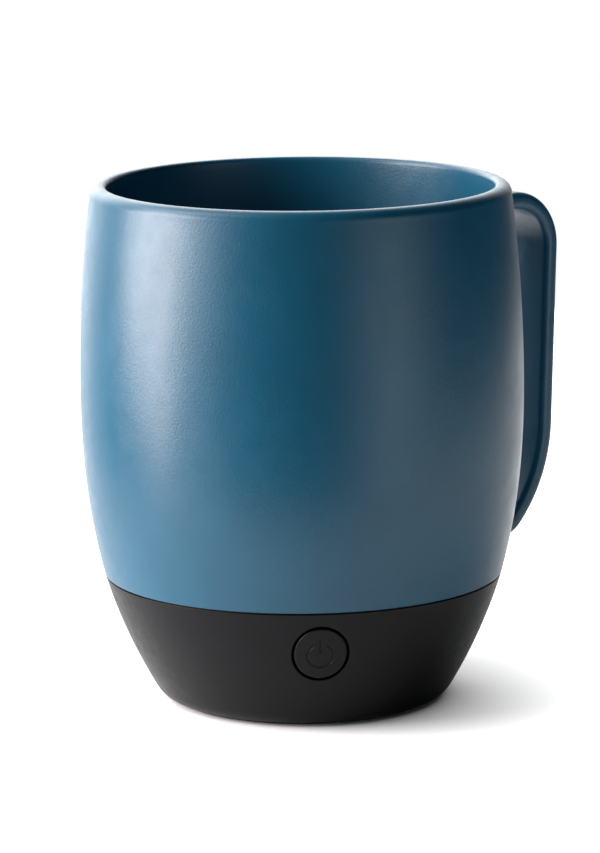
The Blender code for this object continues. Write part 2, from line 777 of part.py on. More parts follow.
def button_bar(name, extra, start, end, collection, material=None):
    """An oval bar along the button's axis, as wide as the hole plus an extra on each side."""
    width = BUTTON_HOLE_WIDTH / 2 + extra
    height = BUTTON_HOLE_HEIGHT / 2 + extra
    return rod(
        name,
        (start, 0, 0),
        (end, 0, 0),
        width,
        MEDIUM_STEPS,
        collection,
        material,
        squash=height / width,
        parent=BASE_FRAME,
        location=(0, 0, BUTTON_HEIGHT),
    )


def button_wall_radius():
    """Radius of the housing's inner wall at the button's height."""
    return base_radius(BUTTON_HEIGHT) - BASE_WALL


def stem_end():
    """Where the button's stem ends, far enough in to clear its slanted flange."""
    back = SEAT_GAP + SEAL_THICKNESS + SEAT_GAP + FLANGE_THICKNESS
    low = BUTTON_HEIGHT - STEM_RADIUS
    slope = base_radius(BUTTON_HEIGHT) - base_radius(low)
    return button_wall_radius() - back - slope - SEAT_GAP


def switch_front():
    return stem_end() - SEAT_GAP - PLUNGER_PROUD


def switch_board_front():
    return switch_front() - SWITCH_DEPTH - SEAT_GAP


def base_housing():
    """The tapered plastic housing with its button hole, bayonet lugs and switch board posts."""
    obj = turned("base_housing", base_profile(), LARGE_STEPS, material=BASE_PLASTIC)
    for index in range(LUG_COUNT):
        join(obj, bayonet_lug(index))
    post_start = switch_board_front() + SEAT_GAP
    post_end = button_wall_radius() + BASE_WALL / 2
    outer_y = SWITCH_POST_OFFSET + SWITCH_POST_RADIUS
    post_end = math.sqrt(post_end**2 - outer_y**2) - SWITCH_POST_RADIUS / 2
    for side in (-1, 1):
        offset = side * SWITCH_POST_OFFSET
        post = rod(
            f"switch_post_{'a' if side < 0 else 'b'}",
            (post_start, offset, BUTTON_HEIGHT),
            (post_end, offset, BUTTON_HEIGHT),
            SWITCH_POST_RADIUS,
            SMALL_STEPS,
            CUTTERS,
            parent=BASE_FRAME,
        )
        join(obj, post)
        depth = SWITCH_SCREW_LENGTH - SWITCH_BOARD_THICKNESS
        cut(
            obj,
            rod(
                f"switch_screw_hole_{'a' if side < 0 else 'b'}",
                (post_start - CUT_OVERRUN, offset, BUTTON_HEIGHT),
                (post_start + depth, offset, BUTTON_HEIGHT),
                SCREW_RADIUS + SEAT_GAP,
                SMALL_STEPS,
                CUTTERS,
                parent=BASE_FRAME,
            ),
        )
    outside = base_radius(BASE_TOP) + CUT_OVERRUN
    inside = base_radius(BUTTON_HEIGHT - BUTTON_HOLE_HEIGHT) - BASE_WALL - CUT_OVERRUN
    cut(obj, button_bar("button_hole", 0, inside, outside, CUTTERS))
    for index, (x, y) in enumerate(post_places()):
        cut(
            obj,
            rod(
                f"floor_screw_hole_{index + 1}",
                (x, y, FLOOR_BOTTOM - CUT_OVERRUN / 2),
                (x, y, FLOOR_TOP + CUT_OVERRUN / 2),
                SCREW_RADIUS + SEAT_GAP,
                SMALL_STEPS,
                CUTTERS,
                parent=BASE_FRAME,
            ),
        )


def power_button():
    """The button cap: a plug that fills the hole, a flange behind the seal and a short stem."""
    flange_start = SEAT_GAP + SEAL_THICKNESS + SEAT_GAP
    outside = base_radius(BASE_TOP) + CUT_OVERRUN
    inside = stem_end() - CUT_OVERRUN
    depth = BASE_WALL + flange_start + FLANGE_THICKNESS / 2
    obj = button_bar("power_button", -RUNNING_GAP, inside, outside, PARTS, BASE_PLASTIC)
    keep_inside(obj, base_envelope("plug_wall", -BUTTON_PROUD, depth + BUTTON_PROUD))
    flange = button_bar("button_flange", FLANGE_REACH, inside, outside, CUTTERS)
    keep_inside(flange, base_envelope("flange_wall", BASE_WALL + flange_start, FLANGE_THICKNESS))
    stem = rod(
        "button_stem",
        (stem_end(), 0, 0),
        (button_wall_radius() - flange_start - FLANGE_THICKNESS / 2, 0, 0),
        STEM_RADIUS,
        SMALL_STEPS,
        CUTTERS,
        parent=BASE_FRAME,
        location=(0, 0, BUTTON_HEIGHT),
    )
    join(obj, flange, stem)


def button_seal():
    """The flat gasket between the housing's wall and the button's flange."""
    outside = base_radius(BASE_TOP)
    inside = stem_end()
    obj = button_bar("button_seal", FLANGE_REACH, inside, outside, PARTS, SILICONE)
    keep_inside(obj, base_envelope("seal_wall", BASE_WALL + SEAT_GAP, SEAL_THICKNESS))
    start = inside - CUT_OVERRUN
    end = outside + CUT_OVERRUN
    cut(obj, button_bar("seal_opening", 0, start, end, CUTTERS))


def switch_group():
    """The tact switch, its plunger, two status lights and the board that carries them."""
    front = switch_front()
    back = front - SWITCH_DEPTH
    half = SWITCH_SIZE / 2
    switch = block(
        "tact_switch",
        (back, -half, BUTTON_HEIGHT - half),
        (front, half, BUTTON_HEIGHT + half),
        material=DARK_PLASTIC,
        parent=BASE_FRAME,
    )
    well_depth = PLUNGER_DEPTH + BUTTON_TRAVEL + SEAT_GAP
    well = rod(
        "plunger_well",
        (front - well_depth, 0, BUTTON_HEIGHT),
        (front + CUT_OVERRUN, 0, BUTTON_HEIGHT),
        PLUNGER_RADIUS + SEAT_GAP,
        SMALL_STEPS,
        CUTTERS,
        parent=BASE_FRAME,
    )
    cut(switch, well)
    rod(
        "switch_plunger",
        (front - PLUNGER_DEPTH, 0, 0),
        (front + PLUNGER_PROUD, 0, 0),
        PLUNGER_RADIUS,
        SMALL_STEPS,
        material=PLATED_BRASS,
        parent=BASE_FRAME,
        location=(0, 0, BUTTON_HEIGHT),
    )
    board_front = switch_board_front()
    board_back = board_front - SWITCH_BOARD_THICKNESS
    board = block(
        "switch_board",
        (board_back, -SWITCH_BOARD_WIDTH / 2, BUTTON_HEIGHT - SWITCH_BOARD_HEIGHT / 2),
        (board_front, SWITCH_BOARD_WIDTH / 2, BUTTON_HEIGHT + SWITCH_BOARD_HEIGHT / 2),
        material=BOARD_GREEN,
        parent=BASE_FRAME,
    )
    for index, side in enumerate((-1, 1)):
        offset = side * SWITCH_POST_OFFSET
        cut(
            board,
            rod(
                f"switch_board_hole_{index + 1}",
                (board_back - CUT_OVERRUN, offset, BUTTON_HEIGHT),
                (board_front + CUT_OVERRUN, offset, BUTTON_HEIGHT),
                SCREW_RADIUS + SEAT_GAP,
                SMALL_STEPS,
                CUTTERS,
                parent=BASE_FRAME,
            ),
        )
        pan_screw(
            f"switch_screw_{index + 1}",
            SWITCH_SCREW_LENGTH,
            (board_back - SEAT_GAP, offset, BUTTON_HEIGHT),
            (0, -math.pi / 2, 0),
        )
        block(
            f"status_light_{index + 1}",
            (board_front + SEAT_GAP, side * LED_OFFSET - LED_WIDTH / 2, BUTTON_HEIGHT - LED_HEIGHT / 2),
            (
                board_front + SEAT_GAP + LED_DEPTH,
                side * LED_OFFSET + LED_WIDTH / 2,
                BUTTON_HEIGHT + LED_HEIGHT / 2,
            ),
            material=CLEAR_LENS,
            parent=BASE_FRAME,
        )


def pan_screw(name, length, location, rotation):
    """A small pan head screw: its head stands up from its location and its shank hangs down."""
    profile = [
        (0, SCREW_HEAD_HEIGHT - SCREW_SOCKET_DEPTH),
        (SCREW_SOCKET_RADIUS, SCREW_HEAD_HEIGHT),
        (SCREW_HEAD_RADIUS * SCREW_HEAD_TOP_SHARE, SCREW_HEAD_HEIGHT),
        (SCREW_HEAD_RADIUS, SCREW_HEAD_HEIGHT / 2),
        (SCREW_HEAD_RADIUS, 0),
        (SCREW_RADIUS, 0),
        (SCREW_RADIUS, SCREW_RADIUS - length),
        (0, -length),
    ]
    turned(
        name,
        profile,
        SMALL_STEPS,
        material=BARE_STEEL,
        parent=BASE_FRAME,
        location=location,
        rotation=rotation,
    )


def post_places():
    """Where the tray's posts stand, in the button's frame."""
    places = []
    for degrees in POST_ANGLES_DEGREES:
        angle = math.radians(degrees)
        places.append((POST_CIRCLE_RADIUS * math.cos(angle), POST_CIRCLE_RADIUS * math.sin(angle)))
    return places


def bottom_cover():
    """The disc that closes the base from below, held by countersunk screws under the foot ring."""
    radius = RABBET_RADIUS - SEAT_GAP
    cover = plate("bottom_cover", radius, COVER_BOTTOM, COVER_TOP, BASE_PLASTIC)
    passages = [
        ("centre_tail_passage", 0, CENTRE_TAIL_RADIUS),
        ("ring_tail_passage", ring_tail_distance(), RING_TAIL_RADIUS),
    ]
    for name, distance, radius in passages:
        cut(
            cover,
            rod(
                name,
                (distance, 0, COVER_BOTTOM - CUT_OVERRUN),
                (distance, 0, COVER_TOP + CUT_OVERRUN),
                radius + SEAT_GAP,
                SMALL_STEPS,
                CUTTERS,
                parent=BASE_FRAME,
            ),
        )
    sink = SCREW_HEAD_RADIUS - SCREW_RADIUS
    for index, (x, y) in enumerate(post_places()):
        countersink = turned(
            f"countersink_{index + 1}",
            [
                (0, COVER_TOP + CUT_OVERRUN),
                (SCREW_RADIUS + SEAT_GAP, COVER_TOP + CUT_OVERRUN),
                (SCREW_RADIUS + SEAT_GAP, COVER_BOTTOM + sink),
                (SCREW_HEAD_RADIUS + SEAT_GAP, COVER_BOTTOM),
                (SCREW_HEAD_RADIUS + SEAT_GAP, COVER_BOTTOM - CUT_OVERRUN),
                (0, COVER_BOTTOM - CUT_OVERRUN),
            ],
            SMALL_STEPS,
            CUTTERS,
            parent=BASE_FRAME,
            location=(x, y, 0),
        )
        cut(cover, countersink)
        profile = [
            (0, COVER_SCREW_LENGTH),
            (SCREW_RADIUS, COVER_SCREW_LENGTH - SCREW_RADIUS),
            (SCREW_RADIUS, sink),
            (SCREW_HEAD_RADIUS, 0),
            (SCREW_SOCKET_RADIUS, 0),
            (0, SCREW_SOCKET_DEPTH),
        ]
        turned(
            f"cover_screw_{index + 1}",
            profile,
            SMALL_STEPS,
            material=BARE_STEEL,
            parent=BASE_FRAME,
            location=(x, y, COVER_BOTTOM),
        )


def foot_ring():
    """The silicone ring that the mug stands on; it hides the cover's screws."""
    outer = RABBET_RADIUS - SEAT_GAP
    inner = FOOT_RING_INNER_RADIUS
    profile = [
        (outer, FOOT_RING_THICKNESS),
        (outer, FOOT_RING_ROUND),
        (outer - FOOT_RING_ROUND, 0),
        (inner + FOOT_RING_ROUND, 0),
        (inner, FOOT_RING_ROUND),
        (inner, FOOT_RING_THICKNESS),
    ]
    turned("foot_ring", profile, LARGE_STEPS, material=SILICONE)


def ring_tail_distance():
    return (RING_CONTACT_INNER_RADIUS + RING_CONTACT_OUTER_RADIUS) / 2


def charging_contacts():
    """Two concentric contacts on the underside, each with a tail through the cover."""
    face_top = CONTACT_FACE_HEIGHT + CONTACT_THICKNESS
    turned(
        "centre_contact",
        [
            (0, TAIL_TOP),
            (CENTRE_TAIL_RADIUS, TAIL_TOP),
            (CENTRE_TAIL_RADIUS, face_top),
            (CENTRE_CONTACT_RADIUS, face_top),
            (CENTRE_CONTACT_RADIUS, CONTACT_FACE_HEIGHT),
            (0, CONTACT_FACE_HEIGHT),
        ],
        MEDIUM_STEPS,
        material=PLATED_BRASS,
        parent=BASE_FRAME,
    )
    ring = turned(
        "ring_contact",
        ring_profile(
            RING_CONTACT_INNER_RADIUS, RING_CONTACT_OUTER_RADIUS, CONTACT_FACE_HEIGHT, face_top
        ),
        MEDIUM_STEPS,
        material=PLATED_BRASS,
        parent=BASE_FRAME,
    )
    distance = ring_tail_distance()
    tail = rod(
        "ring_contact_tail",
        (distance, 0, CONTACT_FACE_HEIGHT + CONTACT_THICKNESS / 2),
        (distance, 0, TAIL_TOP),
        RING_TAIL_RADIUS,
        SMALL_STEPS,
        CUTTERS,
        parent=BASE_FRAME,
    )
    join(ring, tail)


def battery_cells():
    """Two cells that lie side by side and point opposite ways."""
    half = CELL_LENGTH / 2
    shoulder = half - CELL_NUB_HEIGHT
    rounded = CELL_RADIUS - CELL_EDGE_ROUND
    profile = [
        (0, half),
        (CELL_NUB_RADIUS, half),
        (CELL_NUB_RADIUS, shoulder),
        (rounded, shoulder),
        (CELL_RADIUS, shoulder - CELL_EDGE_ROUND),
        (CELL_RADIUS, CELL_EDGE_ROUND - half),
        (rounded, -half),
        (0, -half),
    ]
    for index, side in enumerate((-1, 1)):
        turned(
            f"battery_cell_{index + 1}",
            profile,
            MEDIUM_STEPS,
            material=CELL_SLEEVE,
            parent=BASE_FRAME,
            location=(0, side * CELL_SPACING / 2, CELL_AXIS_HEIGHT),
            rotation=(0, side * math.pi / 2, 0),
        )


def link_reach():
    """Half the length of the strip that links the cells."""
    return CELL_SPACING / 2 + LINK_MARGIN


def battery_tabs():
    """Nickel strips: two rise to the board at one end, and one links the cells at the other."""
    inner = CELL_LENGTH / 2 + SEAT_GAP
    outer = inner + TAB_THICKNESS
    for name, side in (("battery_tab_negative", -1), ("battery_tab_positive", 1)):
        middle = side * CELL_SPACING / 2
        block(
            name,
            (inner, middle - TAB_WIDTH / 2, CELL_AXIS_HEIGHT - TAB_DROP),
            (outer, middle + TAB_WIDTH / 2, BOARD_BOTTOM - SEAT_GAP),
            material=BARE_STEEL,
            parent=BASE_FRAME,
        )
    reach = link_reach()
    block(
        "battery_link",
        (-outer, -reach, CELL_AXIS_HEIGHT - LINK_HEIGHT / 2),
        (-inner, reach, CELL_AXIS_HEIGHT + LINK_HEIGHT / 2),
        material=BARE_STEEL,
        parent=BASE_FRAME,
    )


def battery_tray():
    """The moulded tray: a round plate with a cradle for the cells and three posts for the board."""
    tray = plate("battery_tray", TRAY_RADIUS, TRAY_BOTTOM, TRAY_PLATE_TOP, DARK_PLASTIC)
    room_x = CELL_LENGTH / 2 + SEAT_GAP + TAB_THICKNESS + SEAT_GAP
    room_y = CELL_SPACING / 2 + CELL_RADIUS + SEAT_GAP
    wall_top = TRAY_BOTTOM + TRAY_WALL_HEIGHT
    cradle = block(
        "tray_cradle",
        (-room_x - TRAY_WALL, -room_y - TRAY_WALL, TRAY_BOTTOM),
        (room_x + TRAY_WALL, room_y + TRAY_WALL, wall_top),
        CUTTERS,
        parent=BASE_FRAME,
    )
    join(tray, cradle)
    places = post_places()
    for index, (x, y) in enumerate(places):
        join(
            tray,
            rod(
                f"tray_post_{index + 1}",
                (x, y, TRAY_BOTTOM + TRAY_PLATE_THICKNESS / 2),
                (x, y, BOARD_BOTTOM - SEAT_GAP),
                POST_RADIUS,
                SMALL_STEPS,
                CUTTERS,
                parent=BASE_FRAME,
            ),
        )
    for index, side in enumerate((-1, 1)):
        cut(
            tray,
            rod(
                f"cell_room_{index + 1}",
                (-room_x, side * CELL_SPACING / 2, CELL_AXIS_HEIGHT),
                (room_x, side * CELL_SPACING / 2, CELL_AXIS_HEIGHT),
                CELL_RADIUS + SEAT_GAP,
                MEDIUM_STEPS,
                CUTTERS,
                parent=BASE_FRAME,
            ),
        )
    reach = link_reach() + SEAT_GAP
    link_room = block(
        "link_room",
        (-room_x, -reach, CELL_AXIS_HEIGHT - LINK_HEIGHT / 2 - SEAT_GAP),
        (-CELL_LENGTH / 2, reach, wall_top + CUT_OVERRUN),
        CUTTERS,
        parent=BASE_FRAME,
    )
    cut(tray, link_room)
    notch = block(
        "lead_notch",
        (room_x + TRAY_WALL + SEAT_GAP, -LEAD_NOTCH_WIDTH / 2, TRAY_BOTTOM - CUT_OVERRUN),
        (TRAY_RADIUS + CUT_OVERRUN, LEAD_NOTCH_WIDTH / 2, TRAY_PLATE_TOP + CUT_OVERRUN),
        CUTTERS,
        parent=BASE_FRAME,
    )
    cut(tray, notch)
    cover_hole_top = COVER_BOTTOM + COVER_SCREW_LENGTH + SCREW_HOLE_EXTRA_DEPTH
    board_hole_bottom = BOARD_TOP + SEAT_GAP - BOARD_SCREW_LENGTH - SCREW_HOLE_EXTRA_DEPTH
    for index, (x, y) in enumerate(places):
        bores = (
            (f"cover_screw_bore_{index + 1}", TRAY_BOTTOM - CUT_OVERRUN, cover_hole_top),
            (f"board_screw_bore_{index + 1}", board_hole_bottom, BOARD_BOTTOM + CUT_OVERRUN),
        )
        for name, bottom, top in bores:
            bore = rod(
                name,
                (x, y, bottom),
                (x, y, top),
                SCREW_RADIUS + SEAT_GAP,
                SMALL_STEPS,
                CUTTERS,
                parent=BASE_FRAME,
            )
            cut(tray, bore)


def control_board():
    """The round board on the tray's posts, flat on the side that faces the switch."""
    board = plate("control_board", BOARD_RADIUS, BOARD_BOTTOM, BOARD_TOP, BOARD_GREEN)
    flat = block(
        "board_flat",
        (BOARD_FLAT_DISTANCE, -BOARD_RADIUS, BOARD_BOTTOM - CUT_OVERRUN),
        (BOARD_RADIUS + CUT_OVERRUN, BOARD_RADIUS, BOARD_TOP + CUT_OVERRUN),
        CUTTERS,
        parent=BASE_FRAME,
    )
    cut(board, flat)
    for index, (x, y) in enumerate(post_places()):
        hole = rod(
            f"board_hole_{index + 1}",
            (x, y, BOARD_BOTTOM - CUT_OVERRUN),
            (x, y, BOARD_TOP + CUT_OVERRUN),
            SCREW_RADIUS + SEAT_GAP,
            SMALL_STEPS,
            CUTTERS,
            parent=BASE_FRAME,
        )
        cut(board, hole)
        pan_screw(
            f"board_screw_{index + 1}", BOARD_SCREW_LENGTH, (x, y, BOARD_TOP + SEAT_GAP), (0, 0, 0)
        )


def on_circle(radius, shares):
    """A place given in shares of a circle's radius."""
    return radius * shares[0], radius * shares[1]


def on_board(name, centre, size, height, material):
    """A box soldered on the board."""
    x, y = centre
    return block(
        name,
        (x - size[0] / 2, y - size[1] / 2, PART_BOTTOM),
        (x + size[0] / 2, y + size[1] / 2, PART_BOTTOM + height),
        material=material,
        parent=BASE_FRAME,
    )


def board_parts():
    """The main parts on the board, clear of the nut and stud above its centre."""
    chip = (CONTROLLER_SIZE, CONTROLLER_SIZE)
    place_on_board = on_circle(BOARD_RADIUS, MICROCONTROLLER_SHARE)
    on_board("microcontroller", place_on_board, chip, CHIP_HEIGHT, DARK_PLASTIC)
    charger = (CHARGER_SIZE, CHARGER_SIZE)
    place_on_board = on_circle(BOARD_RADIUS, CHARGER_SHARE)
    on_board("charge_controller", place_on_board, charger, CHIP_HEIGHT, DARK_PLASTIC)
    coil_size = (COIL_SIZE, COIL_SIZE)
    place_on_board = on_circle(BOARD_RADIUS, COIL_SHARE)
    coil = on_board("power_inductor", place_on_board, coil_size, COIL_HEIGHT, DARK_PLASTIC)
    rounded = coil.modifiers.new("rounded", "BEVEL")
    rounded.width = COIL_ROUND
    rounded.segments = 2
    socket = (SOCKET_WIDTH, SOCKET_LENGTH)
    place_on_board = on_circle(HEATER_LEAD_CIRCLE_RADIUS, HEATER_SOCKET_SHARE)
    on_board("heater_socket", place_on_board, socket, SOCKET_HEIGHT, CLEAR_LENS)
    place_on_board = on_circle(BOARD_RADIUS, SENSOR_SOCKET_SHARE)
    on_board("sensor_socket", place_on_board, socket, SOCKET_HEIGHT, CLEAR_LENS)
    for index, shares in enumerate(CAPACITOR_SHARES):
        x, y = on_circle(BOARD_RADIUS, shares)
        rod(
            f"capacitor_{index + 1}",
            (x, y, PART_BOTTOM),
            (x, y, PART_BOTTOM + CAPACITOR_HEIGHT),
            CAPACITOR_RADIUS,
            SMALL_STEPS,
            material=BARE_ALUMINIUM,
            parent=BASE_FRAME,
        )


def heater_stack():
    """Spreader, film heater, insulation and clamp plate, drawn up to the cup by a nut on its stud."""
    bore = STUD_RADIUS + SEAT_GAP
    sensor_bore = rod(
        "sensor_bore",
        (-SENSOR_OFFSET, 0, CLAMP_BOTTOM - CUT_OVERRUN),
        (-SENSOR_OFFSET, 0, CUP_UNDERSIDE + CUT_OVERRUN),
        SENSOR_RADIUS + SEAT_GAP,
        SMALL_STEPS,
        CUTTERS,
        parent=BASE_FRAME,
    )
    layers = (
        ("heat_spreader", SPREADER_RADIUS, SPREADER_TOP, SPREADER_THICKNESS, BARE_ALUMINIUM),
        ("film_heater", HEATER_RADIUS, HEATER_TOP, HEATER_THICKNESS, HEATER_FILM),
        ("insulation_pad", PAD_RADIUS, PAD_TOP, PAD_THICKNESS, WHITE_FELT),
    )
    for name, radius, top, thickness, material in layers:
        profile = ring_profile(bore, radius, top - thickness, top)
        cut(turned(name, profile, MEDIUM_STEPS, material=material, parent=BASE_FRAME), sensor_bore)
    rim_bottom = CLAMP_BOTTOM - CLAMP_LIP_HEIGHT
    clamp = turned(
        "clamp_plate",
        [
            (CLAMP_RADIUS, CLAMP_TOP),
            (CLAMP_RADIUS, rim_bottom),
            (CLAMP_RADIUS - CLAMP_THICKNESS, rim_bottom),
            (CLAMP_RADIUS - CLAMP_THICKNESS, CLAMP_BOTTOM),
            (bore, CLAMP_BOTTOM),
            (bore, CLAMP_TOP),
        ],
        MEDIUM_STEPS,
        material=BARE_STEEL,
        parent=BASE_FRAME,
    )
    cut(clamp, sensor_bore)
    nut = rod(
        "clamp_nut", (0, 0, NUT_TOP - NUT_HEIGHT), (0, 0, NUT_TOP), NUT_RADIUS, 6, material=BARE_STEEL
    )
    cut(
        nut,
        rod(
            "nut_thread",
            (0, 0, NUT_TOP - NUT_HEIGHT - CUT_OVERRUN),
            (0, 0, NUT_TOP + CUT_OVERRUN),
            bore,
            MEDIUM_STEPS,
            CUTTERS,
        ),
    )


def heat_sensing():
    """The sensor that touches the cup's floor, and the thermal cut-out under the clamp plate."""
    head_top = CLAMP_BOTTOM - SEAT_GAP
    turned(
        "temperature_sensor",
        [
            (0, SPREADER_TOP),
            (SENSOR_RADIUS, SPREADER_TOP),
            (SENSOR_RADIUS, head_top),
            (SENSOR_HEAD_RADIUS, head_top),
            (SENSOR_HEAD_RADIUS, head_top - SENSOR_HEAD_HEIGHT),
            (0, head_top - SENSOR_HEAD_HEIGHT),
        ],
        SMALL_STEPS,
        material=PLATED_BRASS,
        parent=BASE_FRAME,
        location=(-SENSOR_OFFSET, 0, 0),
    )
    height = CLAMP_BOTTOM - SEAT_GAP - FUSE_RADIUS
    rod(
        "thermal_cutout",
        (FUSE_OFFSET, -FUSE_LENGTH / 2, height),
        (FUSE_OFFSET, FUSE_LENGTH / 2, height),
        FUSE_RADIUS,
        SMALL_STEPS,
        material=WHITE_FELT,
        parent=BASE_FRAME,
    )


def heater_leads():
    """Two leads from the film heater's edge, past the clamp plate, to their socket."""
    socket_x, socket_y = on_circle(HEATER_LEAD_CIRCLE_RADIUS, HEATER_SOCKET_SHARE)
    top = HEATER_TOP - HEATER_THICKNESS - SEAT_GAP
    entry = PART_BOTTOM + SOCKET_HEIGHT / 2
    beside_socket = socket_x + SOCKET_WIDTH / 2 + SEAT_GAP
    for index, side in enumerate((-1, 1)):
        y = socket_y + side * SOCKET_LENGTH / 4
        x = math.sqrt(HEATER_LEAD_CIRCLE_RADIUS**2 - y**2)
        route = [
            (x, y, top),
            (x, y, CLAMP_BOTTOM),
            (x - LEAD_RADIUS, y, entry + 2 * LEAD_RADIUS),
            (beside_socket, y, entry),
        ]
        lead(f"heater_lead_{index + 1}", route, RED_LEAD)


def sensor_lead():
    """The lead from the sensor's head to its socket."""
    socket_x, socket_y = on_circle(BOARD_RADIUS, SENSOR_SOCKET_SHARE)
    start = CLAMP_BOTTOM - 2 * SEAT_GAP - SENSOR_HEAD_HEIGHT
    end = PART_BOTTOM + SOCKET_HEIGHT / 2
    side = socket_y - SOCKET_LENGTH / 2 - SEAT_GAP
    route = [
        (-SENSOR_OFFSET, 0, start),
        (-SENSOR_OFFSET, 0, start - SENSOR_HEAD_HEIGHT),
        (socket_x, side / 2, end),
        (socket_x, side, end),
    ]
    lead("sensor_lead", route, WHITE_FELT)


def contact_leads():
    """Leads from the contacts' tails, along the valley between the cells and up to the board."""
    level = (COVER_TOP + TRAY_BOTTOM) / 2
    wall = CELL_LENGTH / 2 + TAB_THICKNESS + 3 * SEAT_GAP + TRAY_WALL
    up = wall + 2 * LEAD_RADIUS + SEAT_GAP
    top = BOARD_BOTTOM - SEAT_GAP
    spread = LEAD_NOTCH_WIDTH / 5
    beside_centre = CENTRE_TAIL_RADIUS + SEAT_GAP
    beside_ring = ring_tail_distance() + RING_TAIL_RADIUS + SEAT_GAP
    starts = (
        ("centre_contact_lead", beside_centre, spread, RED_LEAD),
        ("ring_contact_lead", beside_ring, -spread, DARK_PLASTIC),
    )
    for name, start, side, material in starts:
        route = [
            (start, 0, level),
            (start + spread, side / 2, level),
            (start + 2 * spread, side, level),
            (wall - LEAD_RADIUS, side, level),
            (up - LEAD_RADIUS, side, level + LEAD_RADIUS),
            (up, side, TRAY_PLATE_TOP),
            (up, side, top),
        ]
        lead(name, route, material)


def switch_ribbon():
    """The flat flexible strip from the switch board to the underside of the control board."""
    start = switch_board_front() - SWITCH_BOARD_THICKNESS - SEAT_GAP
    top = BOARD_BOTTOM - SEAT_GAP
    inner = BOARD_FLAT_DISTANCE - RIBBON_WIDTH / 4
    radius = (start - inner) / 2
    low = top - 2 * radius
    middle = (start + inner) / 2
    line = [(start, low), *arc((middle, low + radius), radius, -90, -180, CORNER_SPANS)]
    line += [(middle - radius, top)]
    strap("switch_ribbon", line, RIBBON_THICKNESS, RIBBON_WIDTH, 0, HEATER_FILM, parent=BASE_FRAME)


def build():
    outer_shell()
    inner_cup()
    handle()
    closing_ring()
    seam_gasket()
    base_housing()
    power_button()
    button_seal()
    switch_group()
    foot_ring()
    bottom_cover()
    charging_contacts()
    battery_cells()
    battery_tabs()
    battery_tray()
    control_board()
    board_parts()
    heater_stack()
    heat_sensing()
    heater_leads()
    sensor_lead()
    contact_leads()
    switch_ribbon()


build()
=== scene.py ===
"""Looks of the self heating mug: fine meshes, materials, a studio floor, soft lights and a camera.

All sizes are in metres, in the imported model's frame: +Z up, the foot's centre at the origin,
and the handle towards +X. Angles are in degrees.
"""

import json
import math

import bmesh
import bpy
from mathutils import Matrix, Vector


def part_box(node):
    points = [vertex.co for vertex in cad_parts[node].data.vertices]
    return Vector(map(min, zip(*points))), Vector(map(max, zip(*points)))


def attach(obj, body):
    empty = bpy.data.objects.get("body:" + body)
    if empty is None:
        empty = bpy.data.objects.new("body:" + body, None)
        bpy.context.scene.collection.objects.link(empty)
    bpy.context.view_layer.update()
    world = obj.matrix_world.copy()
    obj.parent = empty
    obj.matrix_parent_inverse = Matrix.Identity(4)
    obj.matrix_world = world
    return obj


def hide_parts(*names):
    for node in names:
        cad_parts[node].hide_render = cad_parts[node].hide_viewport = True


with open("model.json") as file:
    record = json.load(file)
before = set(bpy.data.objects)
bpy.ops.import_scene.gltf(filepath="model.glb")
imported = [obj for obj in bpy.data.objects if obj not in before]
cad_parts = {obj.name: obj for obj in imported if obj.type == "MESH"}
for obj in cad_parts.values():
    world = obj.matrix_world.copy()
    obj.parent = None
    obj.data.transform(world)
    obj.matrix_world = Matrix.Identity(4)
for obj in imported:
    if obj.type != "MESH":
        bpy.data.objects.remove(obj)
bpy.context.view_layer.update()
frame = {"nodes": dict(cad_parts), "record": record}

# Outline of the mug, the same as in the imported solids
MUG_HEIGHT = 0.1113
BELLY_RADIUS = 0.0475
BELLY_HEIGHT = 0.068
RIM_RADIUS = 0.0446
SEAM_RADIUS = 0.0429
SEAM_HEIGHT = 0.0276
HEEL_RADIUS = 0.0304
BASE_BULGE = 0.00115
UPPER_CURVE_POWER = 1.9
LOWER_CURVE_POWER = 2.3
SEAT_GAP = 0.0003
# A point of a turned profile that is nearer the axis than this lies on it
ON_AXIS = 0.000003

# Cup and shell
SHELL_WALL = 0.0008
CUP_WALL = 0.0008
DOUBLE_WALL = 0.00325
CUP_TAPER_SHARE = 0.02
SHELL_BOTTOM = 0.02752
SHELL_EDGE_ROUND = 0.00012
LIP_BOTTOM = MUG_HEIGHT - 0.0024
LIP_OUTER_WIDTH = 0.0022
LIP_OUTER_HEIGHT = 0.0022
LIP_INNER_ROUND = 0.001
LIP_OUTER_FOOT = MUG_HEIGHT - LIP_OUTER_HEIGHT
LIP_INNER_FOOT = MUG_HEIGHT - LIP_INNER_ROUND
CUP_FLOOR_HEIGHT = 0.036
CUP_CORNER_RADIUS = 0.009
STUD_RADIUS = 0.0015
STUD_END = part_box("inner_cup")[0].z

# Handle
HANDLE_WIDTH = 0.016
HANDLE_THICKNESS = 0.0037
HANDLE_EDGE_RADIUS = 0.0015
HANDLE_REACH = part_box("handle")[1].x
HANDLE_TOP_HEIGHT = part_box("handle")[1].z
HANDLE_CORNER_RADIUS = 0.0125
HANDLE_LEAN = 2.1
HANDLE_BEND_HEIGHT = 0.052
HANDLE_BEND_RADIUS = 0.033
HANDLE_BEND_END = 135
HANDLE_HOOK_RADIUS = 0.008
HANDLE_HOOK_END = 192
WELD_RADIUS = 0.0011
WELD_SINK = 0.0002

